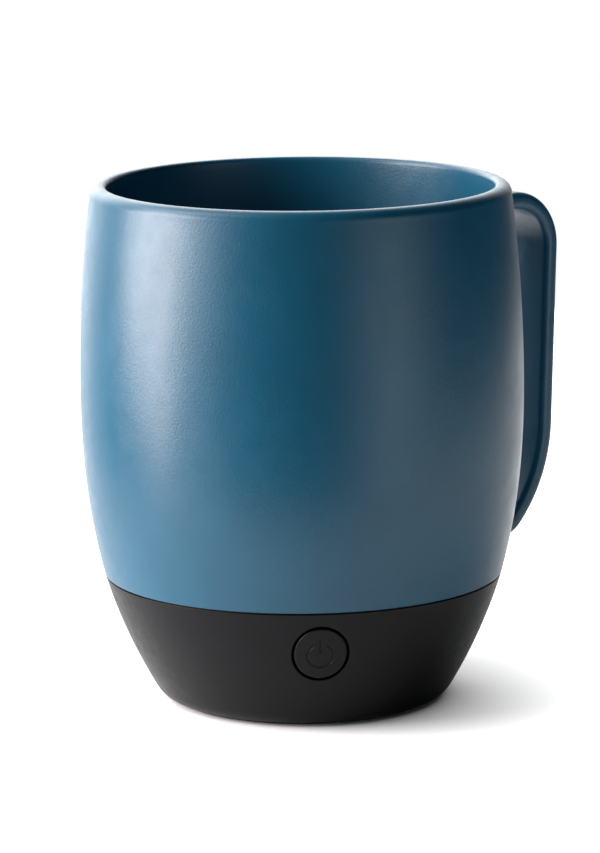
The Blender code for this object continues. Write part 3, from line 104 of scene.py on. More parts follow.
# Base, its button and its underside
BASE_TOP = 0.02716
BASE_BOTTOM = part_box("base_housing")[0].z
BASE_WALL = 0.0022
BASE_EDGE_ROUND = 0.00012
HEEL_ROUND = 0.0021
HEEL_ROUND_HEIGHT = 0.0026
RABBET_RADIUS = 0.0285
FLOOR_OPENING_RADIUS = 0.0245
FLOOR_BOTTOM = 0.0026
FLOOR_TOP = 0.0038
SHOULDER_BOTTOM = 0.0259
SPIGOT_OUTER_RADIUS = 0.0386
SPIGOT_INNER_RADIUS = 0.0372
SPIGOT_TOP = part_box("base_housing")[1].z
BUTTON_AZIMUTH = -125
BUTTON_HEIGHT = 0.01805
HOLE_HALF_WIDTH = 0.00605
HOLE_HALF_HEIGHT = 0.00635
HOLE_EDGE_ROUND = 0.00025
PATCH_ABOVE_HOLE = 0.0018
PATCH_BELOW_HOLE = 0.0022
BUTTON_GAP = 0.0005
BUTTON_PROUD = 0.0001
BUTTON_EDGE_ROUND = 0.0004
FLANGE_REACH = 0.0017
FLANGE_FRONT = 0.0036
FLANGE_BACK = 0.0045
STEM_RADIUS = 0.0018
STEM_END = 0.0341
MARK_RADIUS = 0.0027
MARK_LINE = 0.0005
MARK_DEPTH = 0.0002
MARK_EDGE = 0.00014
MARK_GAP = 34
MARK_BAR_START = 0.0009
MARK_BAR_END = 0.0035
MARK_DROP = 0.0003
SEAM_RING_WIDTH = 0.0022
SEAM_RING_INSET = 0.0006
SEAM_RING_CLEARANCE = 0.00002
FOOT_OUTER_RADIUS = 0.0282
FOOT_INNER_RADIUS = 0.021
FOOT_THICKNESS = 0.001
FOOT_GROOVE_DEPTH = 0.00025
FOOT_GROOVES = 3
FOOT_GROOVE_SHARE = 1 / 8
FOOT_GROOVE_FLARE = 1.6
COVER_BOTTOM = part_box("bottom_cover")[0].z
COVER_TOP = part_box("bottom_cover")[1].z
CONTACT_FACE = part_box("centre_contact")[0].z
CONTACT_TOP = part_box("centre_contact")[1].z
CONTACT_THICKNESS = 0.0005
CENTRE_CONTACT_RADIUS = 0.004
CENTRE_TAIL_RADIUS = 0.0013
RING_CONTACT_INNER_RADIUS = 0.009
RING_CONTACT_OUTER_RADIUS = 0.012
COVER_RIB_INNER_GAP = 0.0012
COVER_RIB_OUTER_GAP = 0.0022
COVER_RIB_HEIGHT = 0.0003
SMALL_ROUND = 0.00015

# How finely the pieces are divided, and above which angle an edge stays sharp
STEPS = 192
CONTACT_STEPS = 96
BUTTON_STEPS = 144
BUTTON_FACE_ROWS = 60
BUTTON_EDGE_ROWS = 6
WALL_ROWS = 44
HIDDEN_ROWS = 10
ROUND_ROWS = 8
LIP_OUTER_ROWS = 12
SMALL_ROUND_ROWS = 4
PATCH_COLUMNS = 8
PATCH_ROWS = 16
ABOVE_PATCH_ROWS = 2
BELOW_PATCH_ROWS = 6
HEEL_ROWS = 12
BASE_INNER_ROWS = 3
HOLE_EDGE_ROWS = 5
STRAP_CORNER_ROWS = 24
STRAP_BEND_ROWS = 20
STRAP_HOOK_ROWS = 16
STRAP_EDGE_ROWS = 6
WELD_ROWS = 6
SHARP_ANGLE = 40
STRAP_SHARP_ANGLE = 50
CAD_SHARP_ANGLE = 35
# Rings round the button's hole, as shares of the way from the patch's border to the hole's edge
HOLE_SHARES = (0.25, 0.5, 0.72, 0.9)
# Rounds of the searches for the foot of the cup's wall and for the way to the outer wall
CORNER_ROUNDS = 6
WALL_ROUNDS = 12

# Camera, from the photograph's perspective
CAMERA_PLACE = (-0.57831, -0.68920, 0.23484)
CAMERA_PITCH = -11.0895
CAMERA_HEADING = -40 + 0.033
CAMERA_ROLL = -0.438
CAMERA_LENS = 180.15
CAMERA_SENSOR = 36
CAMERA_NEAR = 0.05

# Table top, in metres to the right of and away from the mug's foot, and its whiteness
FLOOR_LEFT = -0.2
FLOOR_RIGHT = 0.4
FLOOR_FRONT = -0.16
FLOOR_BACK = 0.5
FLOOR_WHITE = 0.95
# How far the painted shadow round the foot reaches, and the share of open sky at which it is darkest
PAINTED_SHADOW_REACH = 0.032
PAINTED_SHADOW_DARK = 0.22
# Round patch of the top, behind the mug, that is as white in gloss as the camera sees it
GLOSS_PATCH_PLACE = (0, 0.26, 0)
GLOSS_PATCH_EDGE = 0.20
GLOSS_PATCH_CORE = 0.10

# The key box's middle, from the mug's foot as the camera sees it, its width and height, its radiance,
# and how far its top leans towards the camera, in degrees
KEY_PLACE = (-0.5875, -0.112, 0.20)
KEY_SIZE = (0.39, 0.48)
KEY_RADIANCE = 13.4
KEY_LEAN = 22
KEY_TINT = (1, 0.92, 0.91)

# Soft light from the surroundings: azimuth, elevation, how narrow it is, and its strength
GLOWS = (
    (-88, 45, 20, 8.5),
    (-123, 6, 45, 5),
    (-22, 20, 6, 4.5),
)
# A dim, slightly cool card at the front right, given in the same way
FILL = (133, -7, 18, 1.85)
FILL_TINT = (0.9, 1.05, 1.15)
# The white behind the mug, which gloss and glass show as the camera sees it
BACKDROP = (0, -14, 200, 1)

# Colours are linear red, green and blue
BLUE = (0.0054, 0.077, 0.137)
CHARCOAL = (0.0036, 0.0038, 0.0050)
BLACK = (0.010, 0.010, 0.011)
STEEL = (0.56, 0.57, 0.58)
ALUMINIUM = (0.70, 0.71, 0.72)
GOLD = (0.75, 0.52, 0.22)
AMBER = (0.55, 0.24, 0.05)
WHITE = (0.80, 0.80, 0.78)
GREEN = (0.02, 0.14, 0.06)
RED = (0.45, 0.02, 0.02)
CELL_BLUE = (0.03, 0.10, 0.34)
COAT_IOR = 1.5
PLASTIC_GLOSS = 0.19

# Bumps of each finish: their wavelength and height, and how strongly they show
COAT_BUMPS = ((0.0016, 0.00004, 0.2), (0.0005, 0.00006, 0.5))
PLASTIC_BUMPS = ((0.0003, 0.00002, 0.3),)
RUBBER_BUMPS = ((0.0006, 0.00002, 0.25),)
FIBRE_BUMPS = ((0.0004, 0.00008, 0.6),)
METAL_MARK = (0.0006, 0.00001, 0.2)
# Most of a noise's values lie between these
NOISE_MIDDLE = (0.3, 0.7)
# Copper tracks: how many to a metre, and the width of the line between two of them
TRACK_SCALE = 300
TRACK_LINE = 0.03


def upper_share(height):
    """How far a height is on the way from the belly up to the rim."""
    return (height - BELLY_HEIGHT) / (MUG_HEIGHT - BELLY_HEIGHT)


def lower_share(height):
    """How far a height is on the way from the belly down to the seam."""
    return (BELLY_HEIGHT - height) / (BELLY_HEIGHT - SEAM_HEIGHT)


def barrel_radius(height):
    """Outer radius of the painted body, which is widest at the belly."""
    if height > BELLY_HEIGHT:
        drop = BELLY_RADIUS - RIM_RADIUS
        return BELLY_RADIUS - drop * upper_share(height) ** UPPER_CURVE_POWER
    drop = BELLY_RADIUS - SEAM_RADIUS
    return BELLY_RADIUS - drop * lower_share(height) ** LOWER_CURVE_POWER


def base_radius(height):
    """Outer radius of the plastic base, a straight taper with a slight bulge."""
    share = height / SEAM_HEIGHT
    straight = HEEL_RADIUS + (SEAM_RADIUS - HEEL_RADIUS) * share
    return straight + 4 * BASE_BULGE * share * (1 - share)


def cup_radius(height):
    """Radius of the drinking space, which narrows a little downwards."""
    return RIM_RADIUS - DOUBLE_WALL - CUP_TAPER_SHARE * (MUG_HEIGHT - height)


def levels(start, end, spans):
    """Evenly spaced values from start to end, both included."""
    return [start + (end - start) * index / spans for index in range(spans + 1)]


def arc(centre, radius, start, end, spans):
    """Points of an arc from one angle to another, both included."""
    points = []
    for degrees in levels(start, end, spans):
        angle = math.radians(degrees)
        points.append((centre[0] + radius * math.cos(angle), centre[1] + radius * math.sin(angle)))
    return points


def curve(start, corner, end, spans):
    """Points of a quadratic curve that bends towards a corner, both ends included."""
    points = []
    for share in levels(0, 1, spans):
        point = start * (1 - share) ** 2 + corner * 2 * share * (1 - share) + end * share**2
        points.append(tuple(point))
    return points


def rounded(before, corner, after, radius):
    """A small round at a corner between two points of a profile."""
    corner = Vector(corner)
    start = corner + (Vector(before) - corner).normalized() * radius
    end = corner + (Vector(after) - corner).normalized() * radius
    return curve(start, corner, end, SMALL_ROUND_ROWS)


def finish_mesh(name, builder, material, sharp_angle=SHARP_ANGLE):
    """A smooth shaded object from a bmesh, with its faces turned outwards."""
    bmesh.ops.recalc_face_normals(builder, faces=builder.faces)
    mesh = bpy.data.meshes.new(name)
    builder.to_mesh(mesh)
    builder.free()
    mesh.shade_smooth()
    mesh.set_sharp_from_angle(angle=math.radians(sharp_angle))
    mesh.materials.append(material)
    obj = bpy.data.objects.new(name, mesh)
    bpy.context.scene.collection.objects.link(obj)
    return obj


def lathe_rows(builder, profile, steps):
    """Rings of vertices for a turned shape; a point on the axis is one vertex."""
    rows = []
    for radius, height in profile:
        if radius < ON_AXIS:
            rows.append([builder.verts.new((0, 0, height))] * steps)
            continue
        ring = []
        for step in range(steps):
            angle = 2 * math.pi * step / steps
            ring.append(builder.verts.new((radius * math.cos(angle), radius * math.sin(angle), height)))
        rows.append(ring)
    return rows


def fill_between(builder, first, second, skip=()):
    """Faces between two rings of the same count, leaving out the skipped columns."""
    count = len(first)
    for index in range(count):
        if index in skip:
            continue
        after = (index + 1) % count
        corners = []
        for vertex in (first[index], first[after], second[after], second[index]):
            if vertex not in corners:
                corners.append(vertex)
        if len(corners) > 2:
            builder.faces.new(corners)


def lathe(name, profile, material, steps=STEPS):
    """A turned piece; the profile closes on itself unless it starts and ends on the axis."""
    builder = bmesh.new()
    rows = lathe_rows(builder, profile, steps)
    for first, second in zip(rows, rows[1:]):
        fill_between(builder, first, second)
    if profile[0][0] > 0 or profile[-1][0] > 0:
        fill_between(builder, rows[-1], rows[0])
    return finish_mesh(name, builder, material)


def tree_of(material):
    return material.node_tree.nodes, material.node_tree.links


def principled(name, colour, roughness, metallic=0):
    made = bpy.data.materials.new(name)
    made.use_nodes = True
    shader = made.node_tree.nodes["Principled BSDF"]
    shader.inputs["Base Color"].default_value = (*colour, 1)
    shader.inputs["Roughness"].default_value = roughness
    shader.inputs["Metallic"].default_value = metallic
    return made


def noise(material, wavelength, detail=2, stretch=(1, 1, 1)):
    """A noise texture whose patches are about one wavelength across."""
    nodes, links = tree_of(material)
    place = nodes.new("ShaderNodeTexCoord")
    mapping = nodes.new("ShaderNodeMapping")
    mapping.inputs["Scale"].default_value = stretch
    texture = nodes.new("ShaderNodeTexNoise")
    texture.inputs["Scale"].default_value = 1 / wavelength
    texture.inputs["Detail"].default_value = detail
    links.new(place.outputs["Object"], mapping.inputs["Vector"])
    links.new(mapping.outputs["Vector"], texture.inputs["Vector"])
    return texture.outputs["Fac"]


def spread(material, value, low, high):
    """Maps the middle of a noise to a range of values."""
    nodes, links = tree_of(material)
    ranged = nodes.new("ShaderNodeMapRange")
    ranged.inputs["From Min"].default_value = NOISE_MIDDLE[0]
    ranged.inputs["From Max"].default_value = NOISE_MIDDLE[1]
    ranged.inputs["To Min"].default_value = low
    ranged.inputs["To Max"].default_value = high
    links.new(value, ranged.inputs["Value"])
    return ranged.outputs["Result"]


def vary_roughness(material, wavelength, low, high):
    """Lets the roughness drift between two values over a wavelength."""
    nodes, links = tree_of(material)
    value = spread(material, noise(material, wavelength), low, high)
    links.new(value, nodes["Principled BSDF"].inputs["Roughness"])


def vary_colour(material, wavelength, colour, share):
    """Lets the colour drift a little either way over a wavelength."""
    nodes, links = tree_of(material)
    mix = nodes.new("ShaderNodeMix")
    mix.data_type = "RGBA"
    mix.inputs["A"].default_value = (*[part * (1 - share) for part in colour], 1)
    mix.inputs["B"].default_value = (*[part * (1 + share) for part in colour], 1)
    links.new(spread(material, noise(material, wavelength), 0, 1), mix.inputs["Factor"])
    links.new(mix.outputs["Result"], nodes["Principled BSDF"].inputs["Base Color"])


def bumps(material, layers):
    """Chained bumps: each layer has a wavelength, a height and a strength."""
    nodes, links = tree_of(material)
    normal = None
    for wavelength, height, strength in layers:
        bump = nodes.new("ShaderNodeBump")
        bump.inputs["Distance"].default_value = height
        bump.inputs["Strength"].default_value = strength
        links.new(noise(material, wavelength), bump.inputs["Height"])
        if normal:
            links.new(normal, bump.inputs["Normal"])
        normal = bump.outputs["Normal"]
    links.new(normal, nodes["Principled BSDF"].inputs["Normal"])


def powder_coat():
    """Blue powder coat: fine grain over a soft orange peel, with a satin sheen."""
    made = principled("powder_coat", BLUE, roughness=0.33)
    made.node_tree.nodes["Principled BSDF"].inputs["IOR"].default_value = COAT_IOR
    vary_colour(made, wavelength=0.012, colour=BLUE, share=0.05)
    vary_roughness(made, wavelength=0.004, low=0.30, high=0.36)
    bumps(made, COAT_BUMPS)
    return made


def moulded_plastic(name, colour, roughness):
    """Fine spark-eroded texture on a moulded part."""
    made = principled(name, colour, roughness)
    made.node_tree.nodes["Principled BSDF"].inputs["Specular IOR Level"].default_value = PLASTIC_GLOSS
    vary_colour(made, wavelength=0.008, colour=colour, share=0.08)
    vary_roughness(made, wavelength=0.002, low=roughness - 0.04, high=roughness + 0.04)
    bumps(made, PLASTIC_BUMPS)
    return made


def rubber(name, colour):
    made = principled(name, colour, roughness=0.65)
    vary_roughness(made, wavelength=0.003, low=0.6, high=0.72)
    bumps(made, RUBBER_BUMPS)
    return made


def metal(name, colour, roughness, stretch):
    """Sheet metal with fine drawing marks along one direction."""
    made = principled(name, colour, roughness, metallic=1)
    nodes, links = tree_of(made)
    wavelength, depth, strength = METAL_MARK
    marks = noise(made, wavelength, detail=4, stretch=stretch)
    shader = nodes["Principled BSDF"]
    drift = spread(made, marks, low=roughness * 0.8, high=roughness * 1.3)
    links.new(drift, shader.inputs["Roughness"])
    bump = nodes.new("ShaderNodeBump")
    bump.inputs["Distance"].default_value = depth
    bump.inputs["Strength"].default_value = strength
    links.new(marks, bump.inputs["Height"])
    links.new(bump.outputs["Normal"], shader.inputs["Normal"])
    return made


def board_green():
    """Solder mask with faint copper tracks under it."""
    made = principled("solder_mask", GREEN, roughness=0.4)
    nodes, links = tree_of(made)
    place = nodes.new("ShaderNodeTexCoord")
    tracks = nodes.new("ShaderNodeTexBrick")
    tracks.inputs["Scale"].default_value = TRACK_SCALE
    tracks.inputs["Mortar Size"].default_value = TRACK_LINE
    for socket, shade in (("Color1", 1), ("Color2", 0.85), ("Mortar", 1.5)):
        tracks.inputs[socket].default_value = (*[part * shade for part in GREEN], 1)
    links.new(place.outputs["Object"], tracks.inputs["Vector"])
    links.new(tracks.outputs["Color"], nodes["Principled BSDF"].inputs["Base Color"])
    vary_roughness(made, wavelength=0.002, low=0.35, high=0.45)
    return made


def fibre_white():
    made = principled("pressed_fibre", WHITE, roughness=0.9)
    vary_colour(made, wavelength=0.0008, colour=WHITE, share=0.1)
    bumps(made, FIBRE_BUMPS)
    return made


def film(name, colour, roughness):
    """Smooth film, sleeve or lens."""
    made = principled(name, colour, roughness)
    vary_colour(made, wavelength=0.003, colour=colour, share=0.12)
    vary_roughness(made, wavelength=0.0015, low=roughness - 0.06, high=roughness + 0.06)
    return made


def cup_corner():
    """Centre of the corner between the cup's floor and wall, the wall's lean there, and its foot."""
    lean = 0
    height = CUP_FLOOR_HEIGHT + CUP_CORNER_RADIUS
    rise = CUP_CORNER_RADIUS / 10
    for _ in range(CORNER_ROUNDS):
        lean = math.atan((cup_radius(height + rise) - cup_radius(height)) / rise)
        height = CUP_FLOOR_HEIGHT + CUP_CORNER_RADIUS * (1 - math.sin(lean))
    centre_radius = cup_radius(height) - CUP_CORNER_RADIUS * math.cos(lean)
    return (centre_radius, CUP_FLOOR_HEIGHT + CUP_CORNER_RADIUS), math.degrees(lean), height


def lip_profile():
    """The rolled lip, from the drinking space over its top to the outer wall."""
    inner_centre = cup_radius(LIP_INNER_FOOT) + LIP_INNER_ROUND
    outer_centre = barrel_radius(LIP_OUTER_FOOT) - LIP_OUTER_WIDTH
    points = arc((inner_centre, LIP_INNER_FOOT), LIP_INNER_ROUND, 180, 90, ROUND_ROWS)
    for angle in levels(math.pi / 2, 0, LIP_OUTER_ROWS):
        radius = outer_centre + LIP_OUTER_WIDTH * math.cos(angle)
        points.append((radius, LIP_OUTER_FOOT + LIP_OUTER_HEIGHT * math.sin(angle)))
    return points


def shell_profile():
    """The outer wall, down its outside, round its lower edge and up its hidden side."""
    edge_top = SHELL_BOTTOM + SHELL_EDGE_ROUND
    outside = [(barrel_radius(height), height) for height in levels(LIP_OUTER_FOOT, edge_top, 2 * WALL_ROWS)]
    bottom = barrel_radius(SHELL_BOTTOM)
    inner = (bottom - SHELL_WALL, SHELL_BOTTOM)
    edge = rounded(outside[-1], (bottom, SHELL_BOTTOM), inner, SHELL_EDGE_ROUND)
    back = []
    for height in levels(SHELL_BOTTOM, LIP_BOTTOM, HIDDEN_ROWS):
        back.append((barrel_radius(height) - SHELL_WALL, height))
    return [*outside[1:], *edge[1:], *back]


def cup_body(material):
    """The whole painted body in one skin: cup, rolled lip and outer wall, hollow between the walls."""
    centre, lean, wall_foot = cup_corner()
    floor = [(centre[0] * share, CUP_FLOOR_HEIGHT) for share in levels(0, 1, HIDDEN_ROWS)[:-1]]
    inside = [(cup_radius(height), height) for height in levels(wall_foot, LIP_INNER_FOOT, WALL_ROWS)]
    back = []
    for height in levels(LIP_BOTTOM, wall_foot, HIDDEN_ROWS):
        back.append((cup_radius(height) + CUP_WALL, height))
    profile = [
        *floor,
        *arc(centre, CUP_CORNER_RADIUS, -90, -lean, 2 * ROUND_ROWS),
        *inside[1:-1],
        *lip_profile(),
        *shell_profile(),
        *back[:-1],
        *arc(centre, CUP_CORNER_RADIUS + CUP_WALL, -lean, -90, ROUND_ROWS),
        (STUD_RADIUS, CUP_FLOOR_HEIGHT - CUP_WALL),
        (STUD_RADIUS, STUD_END),
        (0, STUD_END),
    ]
    obj = lathe("cup_body", profile, material)
    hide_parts("outer_shell", "inner_cup")
    return obj


def outward_at(degrees):
    """The direction at an angle above the handle's reach."""
    angle = math.radians(degrees)
    return Vector((math.cos(angle), math.sin(angle)))


def onward_from(outward):
    """The strap's heading where its outer face looks outward."""
    return Vector((outward.y, -outward.x))


def handle_line():
    """Middle line of the strap, from the wall at its top round to the wall at its foot."""
    half = HANDLE_THICKNESS / 2
    top = HANDLE_TOP_HEIGHT - half
    corner = Vector((HANDLE_REACH - HANDLE_CORNER_RADIUS, HANDLE_TOP_HEIGHT - HANDLE_CORNER_RADIUS))
    line = [(barrel_radius(top), top)]
    line += arc(corner, HANDLE_CORNER_RADIUS - half, 90, -HANDLE_LEAN, STRAP_CORNER_ROWS)
    outward = outward_at(-HANDLE_LEAN)
    down = onward_from(outward)
    outer_end = corner + outward * HANDLE_CORNER_RADIUS
    outer_foot = outer_end + down * (outer_end.y - HANDLE_BEND_HEIGHT) / -down.y
    bend_centre = outer_foot - outward * HANDLE_BEND_RADIUS
    bend_end = 90 - HANDLE_BEND_END
    line += arc(bend_centre, HANDLE_BEND_RADIUS - half, -HANDLE_LEAN, bend_end, STRAP_BEND_ROWS)
    hook_centre = bend_centre + outward_at(bend_end) * (HANDLE_BEND_RADIUS - HANDLE_HOOK_RADIUS)
    hook_end = 90 - HANDLE_HOOK_END
    line += arc(hook_centre, HANDLE_HOOK_RADIUS - half, bend_end, hook_end, STRAP_HOOK_ROWS)[1:]
    points = [Vector(point) for point in line]
    last = points[-1]
    inward = onward_from(outward_at(hook_end))
    points.append(last + inward * (last.x - barrel_radius(last.y)) / -inward.x)
    return [Vector((point.x, 0, point.y)) for point in points]


def strap_section(grow):
    """Outline of the strap's section, rounded at its edges, as width and thickness offsets."""
    half_width = HANDLE_WIDTH / 2 - HANDLE_EDGE_RADIUS
    half_thickness = HANDLE_THICKNESS / 2 - HANDLE_EDGE_RADIUS
    radius = HANDLE_EDGE_RADIUS + grow
    points = []
    corners = ((1, 1, 0), (-1, 1, 90), (-1, -1, 180), (1, -1, 270))
    for side, face, start in corners:
        middle = (side * half_width, face * half_thickness)
        points += arc(middle, radius, start, start + 90, STRAP_EDGE_ROWS)
    return points


def to_wall(point, direction):
    """How far along a direction a point is from the painted wall."""
    distance = 0
    for _ in range(WALL_ROUNDS):
        place = point + direction * distance
        gap = math.hypot(place.x, place.y) - barrel_radius(place.z)
        distance += gap / max(abs(direction.x), abs(direction.z))
    return distance


def strap_ring(middle, heading, grow):
    """One ring of the strap, square to its heading."""
    out = Vector((heading.z, 0, -heading.x))
    ring = []
    for width, thickness in strap_section(grow):
        ring.append(middle + Vector((0, width, 0)) + out * -thickness)
    return ring


def strap_headings(line):
    """The line's heading at each of its inner points."""
    headings = [(after - before).normalized() for before, after in zip(line, line[2:])]
    headings[0] = (line[1] - line[0]).normalized()
    headings[-1] = (line[-1] - line[-2]).normalized()
    return headings


def weld_rings(base, heading, direction):
    """Rings that carry an end of the strap to the wall, where they flare like a weld fillet."""
    rings = []
    for angle in levels(0, math.pi / 2, WELD_ROWS):
        grow = WELD_RADIUS * (1 - math.cos(angle))
        stand = WELD_RADIUS * (1 - math.sin(angle)) - WELD_SINK * math.sin(angle)
        ring = []
        for point in strap_ring(base, heading, grow):
            ring.append(point + direction * (to_wall(point, direction) - stand))
        rings.append(ring)
    return rings


def handle(material):
    """The strap handle with a small weld fillet where each end meets the wall."""
    line = handle_line()
    headings = strap_headings(line)
    top_weld = weld_rings(line[1], headings[0], -headings[0])
    strap = [strap_ring(middle, heading, 0) for middle, heading in zip(line[1:-1], headings)]
    foot_weld = weld_rings(line[-2], headings[-1], headings[-1])
    builder = bmesh.new()
    rows = []
    for ring in (*reversed(top_weld), *strap, *foot_weld):
        rows.append([builder.verts.new(point) for point in ring])
    for first, second in zip(rows, rows[1:]):
        fill_between(builder, first, second)
    builder.faces.new(rows[0])
    builder.faces.new(rows[-1])
    obj = finish_mesh("handle_strap", builder, material, STRAP_SHARP_ANGLE)
    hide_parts("handle")
    return obj


def side_points(start, end, spans, depth=0):
    """Points of the base's side between two heights, both included, at a depth below its face."""
    return [(base_radius(height) - depth, height) for height in levels(start, end, spans)]


def base_profile():
    """The housing's closed section, and the first rows of the outer and inner patch round the hole."""
    side_top = BASE_TOP - BASE_EDGE_ROUND
    patch_top = BUTTON_HEIGHT + HOLE_HALF_HEIGHT + PATCH_ABOVE_HOLE
    patch_bottom = BUTTON_HEIGHT - HOLE_HALF_HEIGHT - PATCH_BELOW_HOLE
    top_corner = (base_radius(BASE_TOP), BASE_TOP)
    side_start = (base_radius(side_top), side_top)
    edge = rounded((SPIGOT_OUTER_RADIUS, BASE_TOP), top_corner, side_start, BASE_EDGE_ROUND)
    above = side_points(side_top, patch_top, ABOVE_PATCH_ROWS)[1:-1]
    outer_patch = side_points(patch_top, patch_bottom, PATCH_ROWS)
    below = side_points(patch_bottom, BASE_BOTTOM + HEEL_ROUND_HEIGHT, BELOW_PATCH_ROWS)[1:]
    heel_corner = Vector((base_radius(BASE_BOTTOM), BASE_BOTTOM))
    heel_end = heel_corner - Vector((HEEL_ROUND, 0))
    heel = curve(Vector(below[-1]), heel_corner, heel_end, HEEL_ROWS)[1:]
    under = [
        (RABBET_RADIUS, BASE_BOTTOM),
        (RABBET_RADIUS, FLOOR_BOTTOM),
        (FLOOR_OPENING_RADIUS, FLOOR_BOTTOM),
        (FLOOR_OPENING_RADIUS, FLOOR_TOP),
    ]
    inner_low = side_points(FLOOR_TOP, patch_bottom, BASE_INNER_ROWS, BASE_WALL)[:-1]
    inner_patch = side_points(patch_bottom, SHOULDER_BOTTOM - SEAT_GAP, PATCH_ROWS, BASE_WALL)
    top = [
        (base_radius(SHOULDER_BOTTOM) - BASE_WALL, SHOULDER_BOTTOM),
        (SPIGOT_INNER_RADIUS, SHOULDER_BOTTOM),
        (SPIGOT_INNER_RADIUS, SPIGOT_TOP),
        (SPIGOT_OUTER_RADIUS, SPIGOT_TOP),
        (SPIGOT_OUTER_RADIUS, BASE_TOP),
    ]
    outside = [*edge, *above]
    inside = [*outside, *outer_patch, *below, *heel, *under, *inner_low]
    return [*inside, *inner_patch, *top], len(outside), len(inside)


def hole_point(angle, offset):
    """A point round the button's hole, a little outside its edge, as width and height."""
    width = HOLE_HALF_WIDTH * math.cos(angle)
    height = HOLE_HALF_HEIGHT * math.sin(angle)
    normal = Vector((HOLE_HALF_HEIGHT * math.cos(angle), HOLE_HALF_WIDTH * math.sin(angle))).normalized()
    return width + normal.x * offset, BUTTON_HEIGHT + height + normal.y * offset


def base_point(width, height, depth):
    """A point on the base's side near the button, at a depth below the surface."""
    return Vector((math.sqrt(base_radius(height) ** 2 - width**2) - depth, width, height))


def turn_to_button(builder):
    """Turns a shape made with the button towards +X to the button's side of the mug."""
    turn = Matrix.Rotation(math.radians(BUTTON_AZIMUTH), 4, "Z")
    bmesh.ops.transform(builder, matrix=turn, verts=builder.verts)


def patch_border(patch):
    """Vertices round a patch of the turned base that the hole replaces, in order."""
    left = -PATCH_COLUMNS
    right = PATCH_COLUMNS
    border = [patch[0][column] for column in range(left, right)]
    border += [row[right] for row in patch[:-1]]
    border += [patch[-1][column] for column in range(right, left, -1)]
    border += [row[left] for row in reversed(patch[1:])]
    return border


def hole_rings(builder, border):
    """Rings from the outer border over the hole's soft edge to the back of the wall."""
    angles = []
    for vertex in border:
        width = vertex.co.y / HOLE_HALF_WIDTH
        height = (vertex.co.z - BUTTON_HEIGHT) / HOLE_HALF_HEIGHT
        angles.append(math.atan2(height, width))
    rings = [border]
    for share in HOLE_SHARES:
        ring = []
        for vertex, angle in zip(border, angles):
            rim = Vector(hole_point(angle, HOLE_EDGE_ROUND))
            flat = Vector((vertex.co.y, vertex.co.z)).lerp(rim, share)
            ring.append(builder.verts.new(base_point(flat.x, flat.y, 0)))
        rings.append(ring)
    for tilt in levels(0, math.pi / 2, HOLE_EDGE_ROWS):
        offset = HOLE_EDGE_ROUND * (1 - math.sin(tilt))
        depth = HOLE_EDGE_ROUND * (1 - math.cos(tilt))
        ring = []
        for angle in angles:
            ring.append(builder.verts.new(base_point(*hole_point(angle, offset), depth)))
        rings.append(ring)
    rings.append([builder.verts.new(base_point(*hole_point(angle, 0), BASE_WALL)) for angle in angles])
    return rings


def base_shell(material):
    """The tapered plastic base, with a softly edged hole for the button."""
    profile, outer_start, inner_start = base_profile()
    builder = bmesh.new()
    rows = lathe_rows(builder, profile, STEPS)
    hidden = {column % STEPS for column in range(-PATCH_COLUMNS, PATCH_COLUMNS)}
    for index, row in enumerate(rows):
        in_patch = any(start <= index < start + PATCH_ROWS for start in (outer_start, inner_start))
        fill_between(builder, row, rows[(index + 1) % len(rows)], hidden if in_patch else ())
    outer_border = patch_border(rows[outer_start : outer_start + PATCH_ROWS + 1])
    inner_border = patch_border(rows[inner_start : inner_start + PATCH_ROWS + 1][::-1])
    rings = [*hole_rings(builder, outer_border), [*inner_border[1:], inner_border[0]]]
    for first, second in zip(rings, rings[1:]):
        fill_between(builder, first, second)
    turn_to_button(builder)
    obj = finish_mesh("base_shell", builder, material)
    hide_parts("base_housing")
    return obj


def smooth_step(value, low, high):
    """Nothing below low, one above high, and an even rise between them."""
    share = min(max((value - low) / (high - low), 0), 1)
    return share * share * (3 - 2 * share)


def mark_depth(width, height):
    """Depth of the power mark: a ring open at its top, and a short bar in the opening."""
    height += MARK_DROP
    radius = math.hypot(width, height)
    off_ring = abs(radius - MARK_RADIUS)
    from_top = abs(math.degrees(math.atan2(width, height)))
    if from_top < MARK_GAP:
        angle = math.radians(MARK_GAP)
        end_width = MARK_RADIUS * math.sin(angle)
        end_height = MARK_RADIUS * math.cos(angle)
        off_ring = math.hypot(abs(width) - end_width, height - end_height)
    beyond = max(MARK_BAR_START - height, height - MARK_BAR_END, 0)
    off_bar = math.hypot(width, beyond)
    off_line = min(off_ring, off_bar) - MARK_LINE / 2
    return MARK_DEPTH * (1 - smooth_step(off_line, -MARK_EDGE, MARK_EDGE / 2))


def button_ring(builder, half_width, half_height, depth, marked=False):
    """An oval ring round the button's middle, at a depth below the base's side and into the mark."""
    ring = []
    for index in range(BUTTON_STEPS):
        angle = 2 * math.pi * index / BUTTON_STEPS
        width = half_width * math.cos(angle)
        height = half_height * math.sin(angle)
        sunk = mark_depth(width, height) + depth if marked else depth
        ring.append(builder.verts.new(base_point(width, BUTTON_HEIGHT + height, sunk)))
    return ring


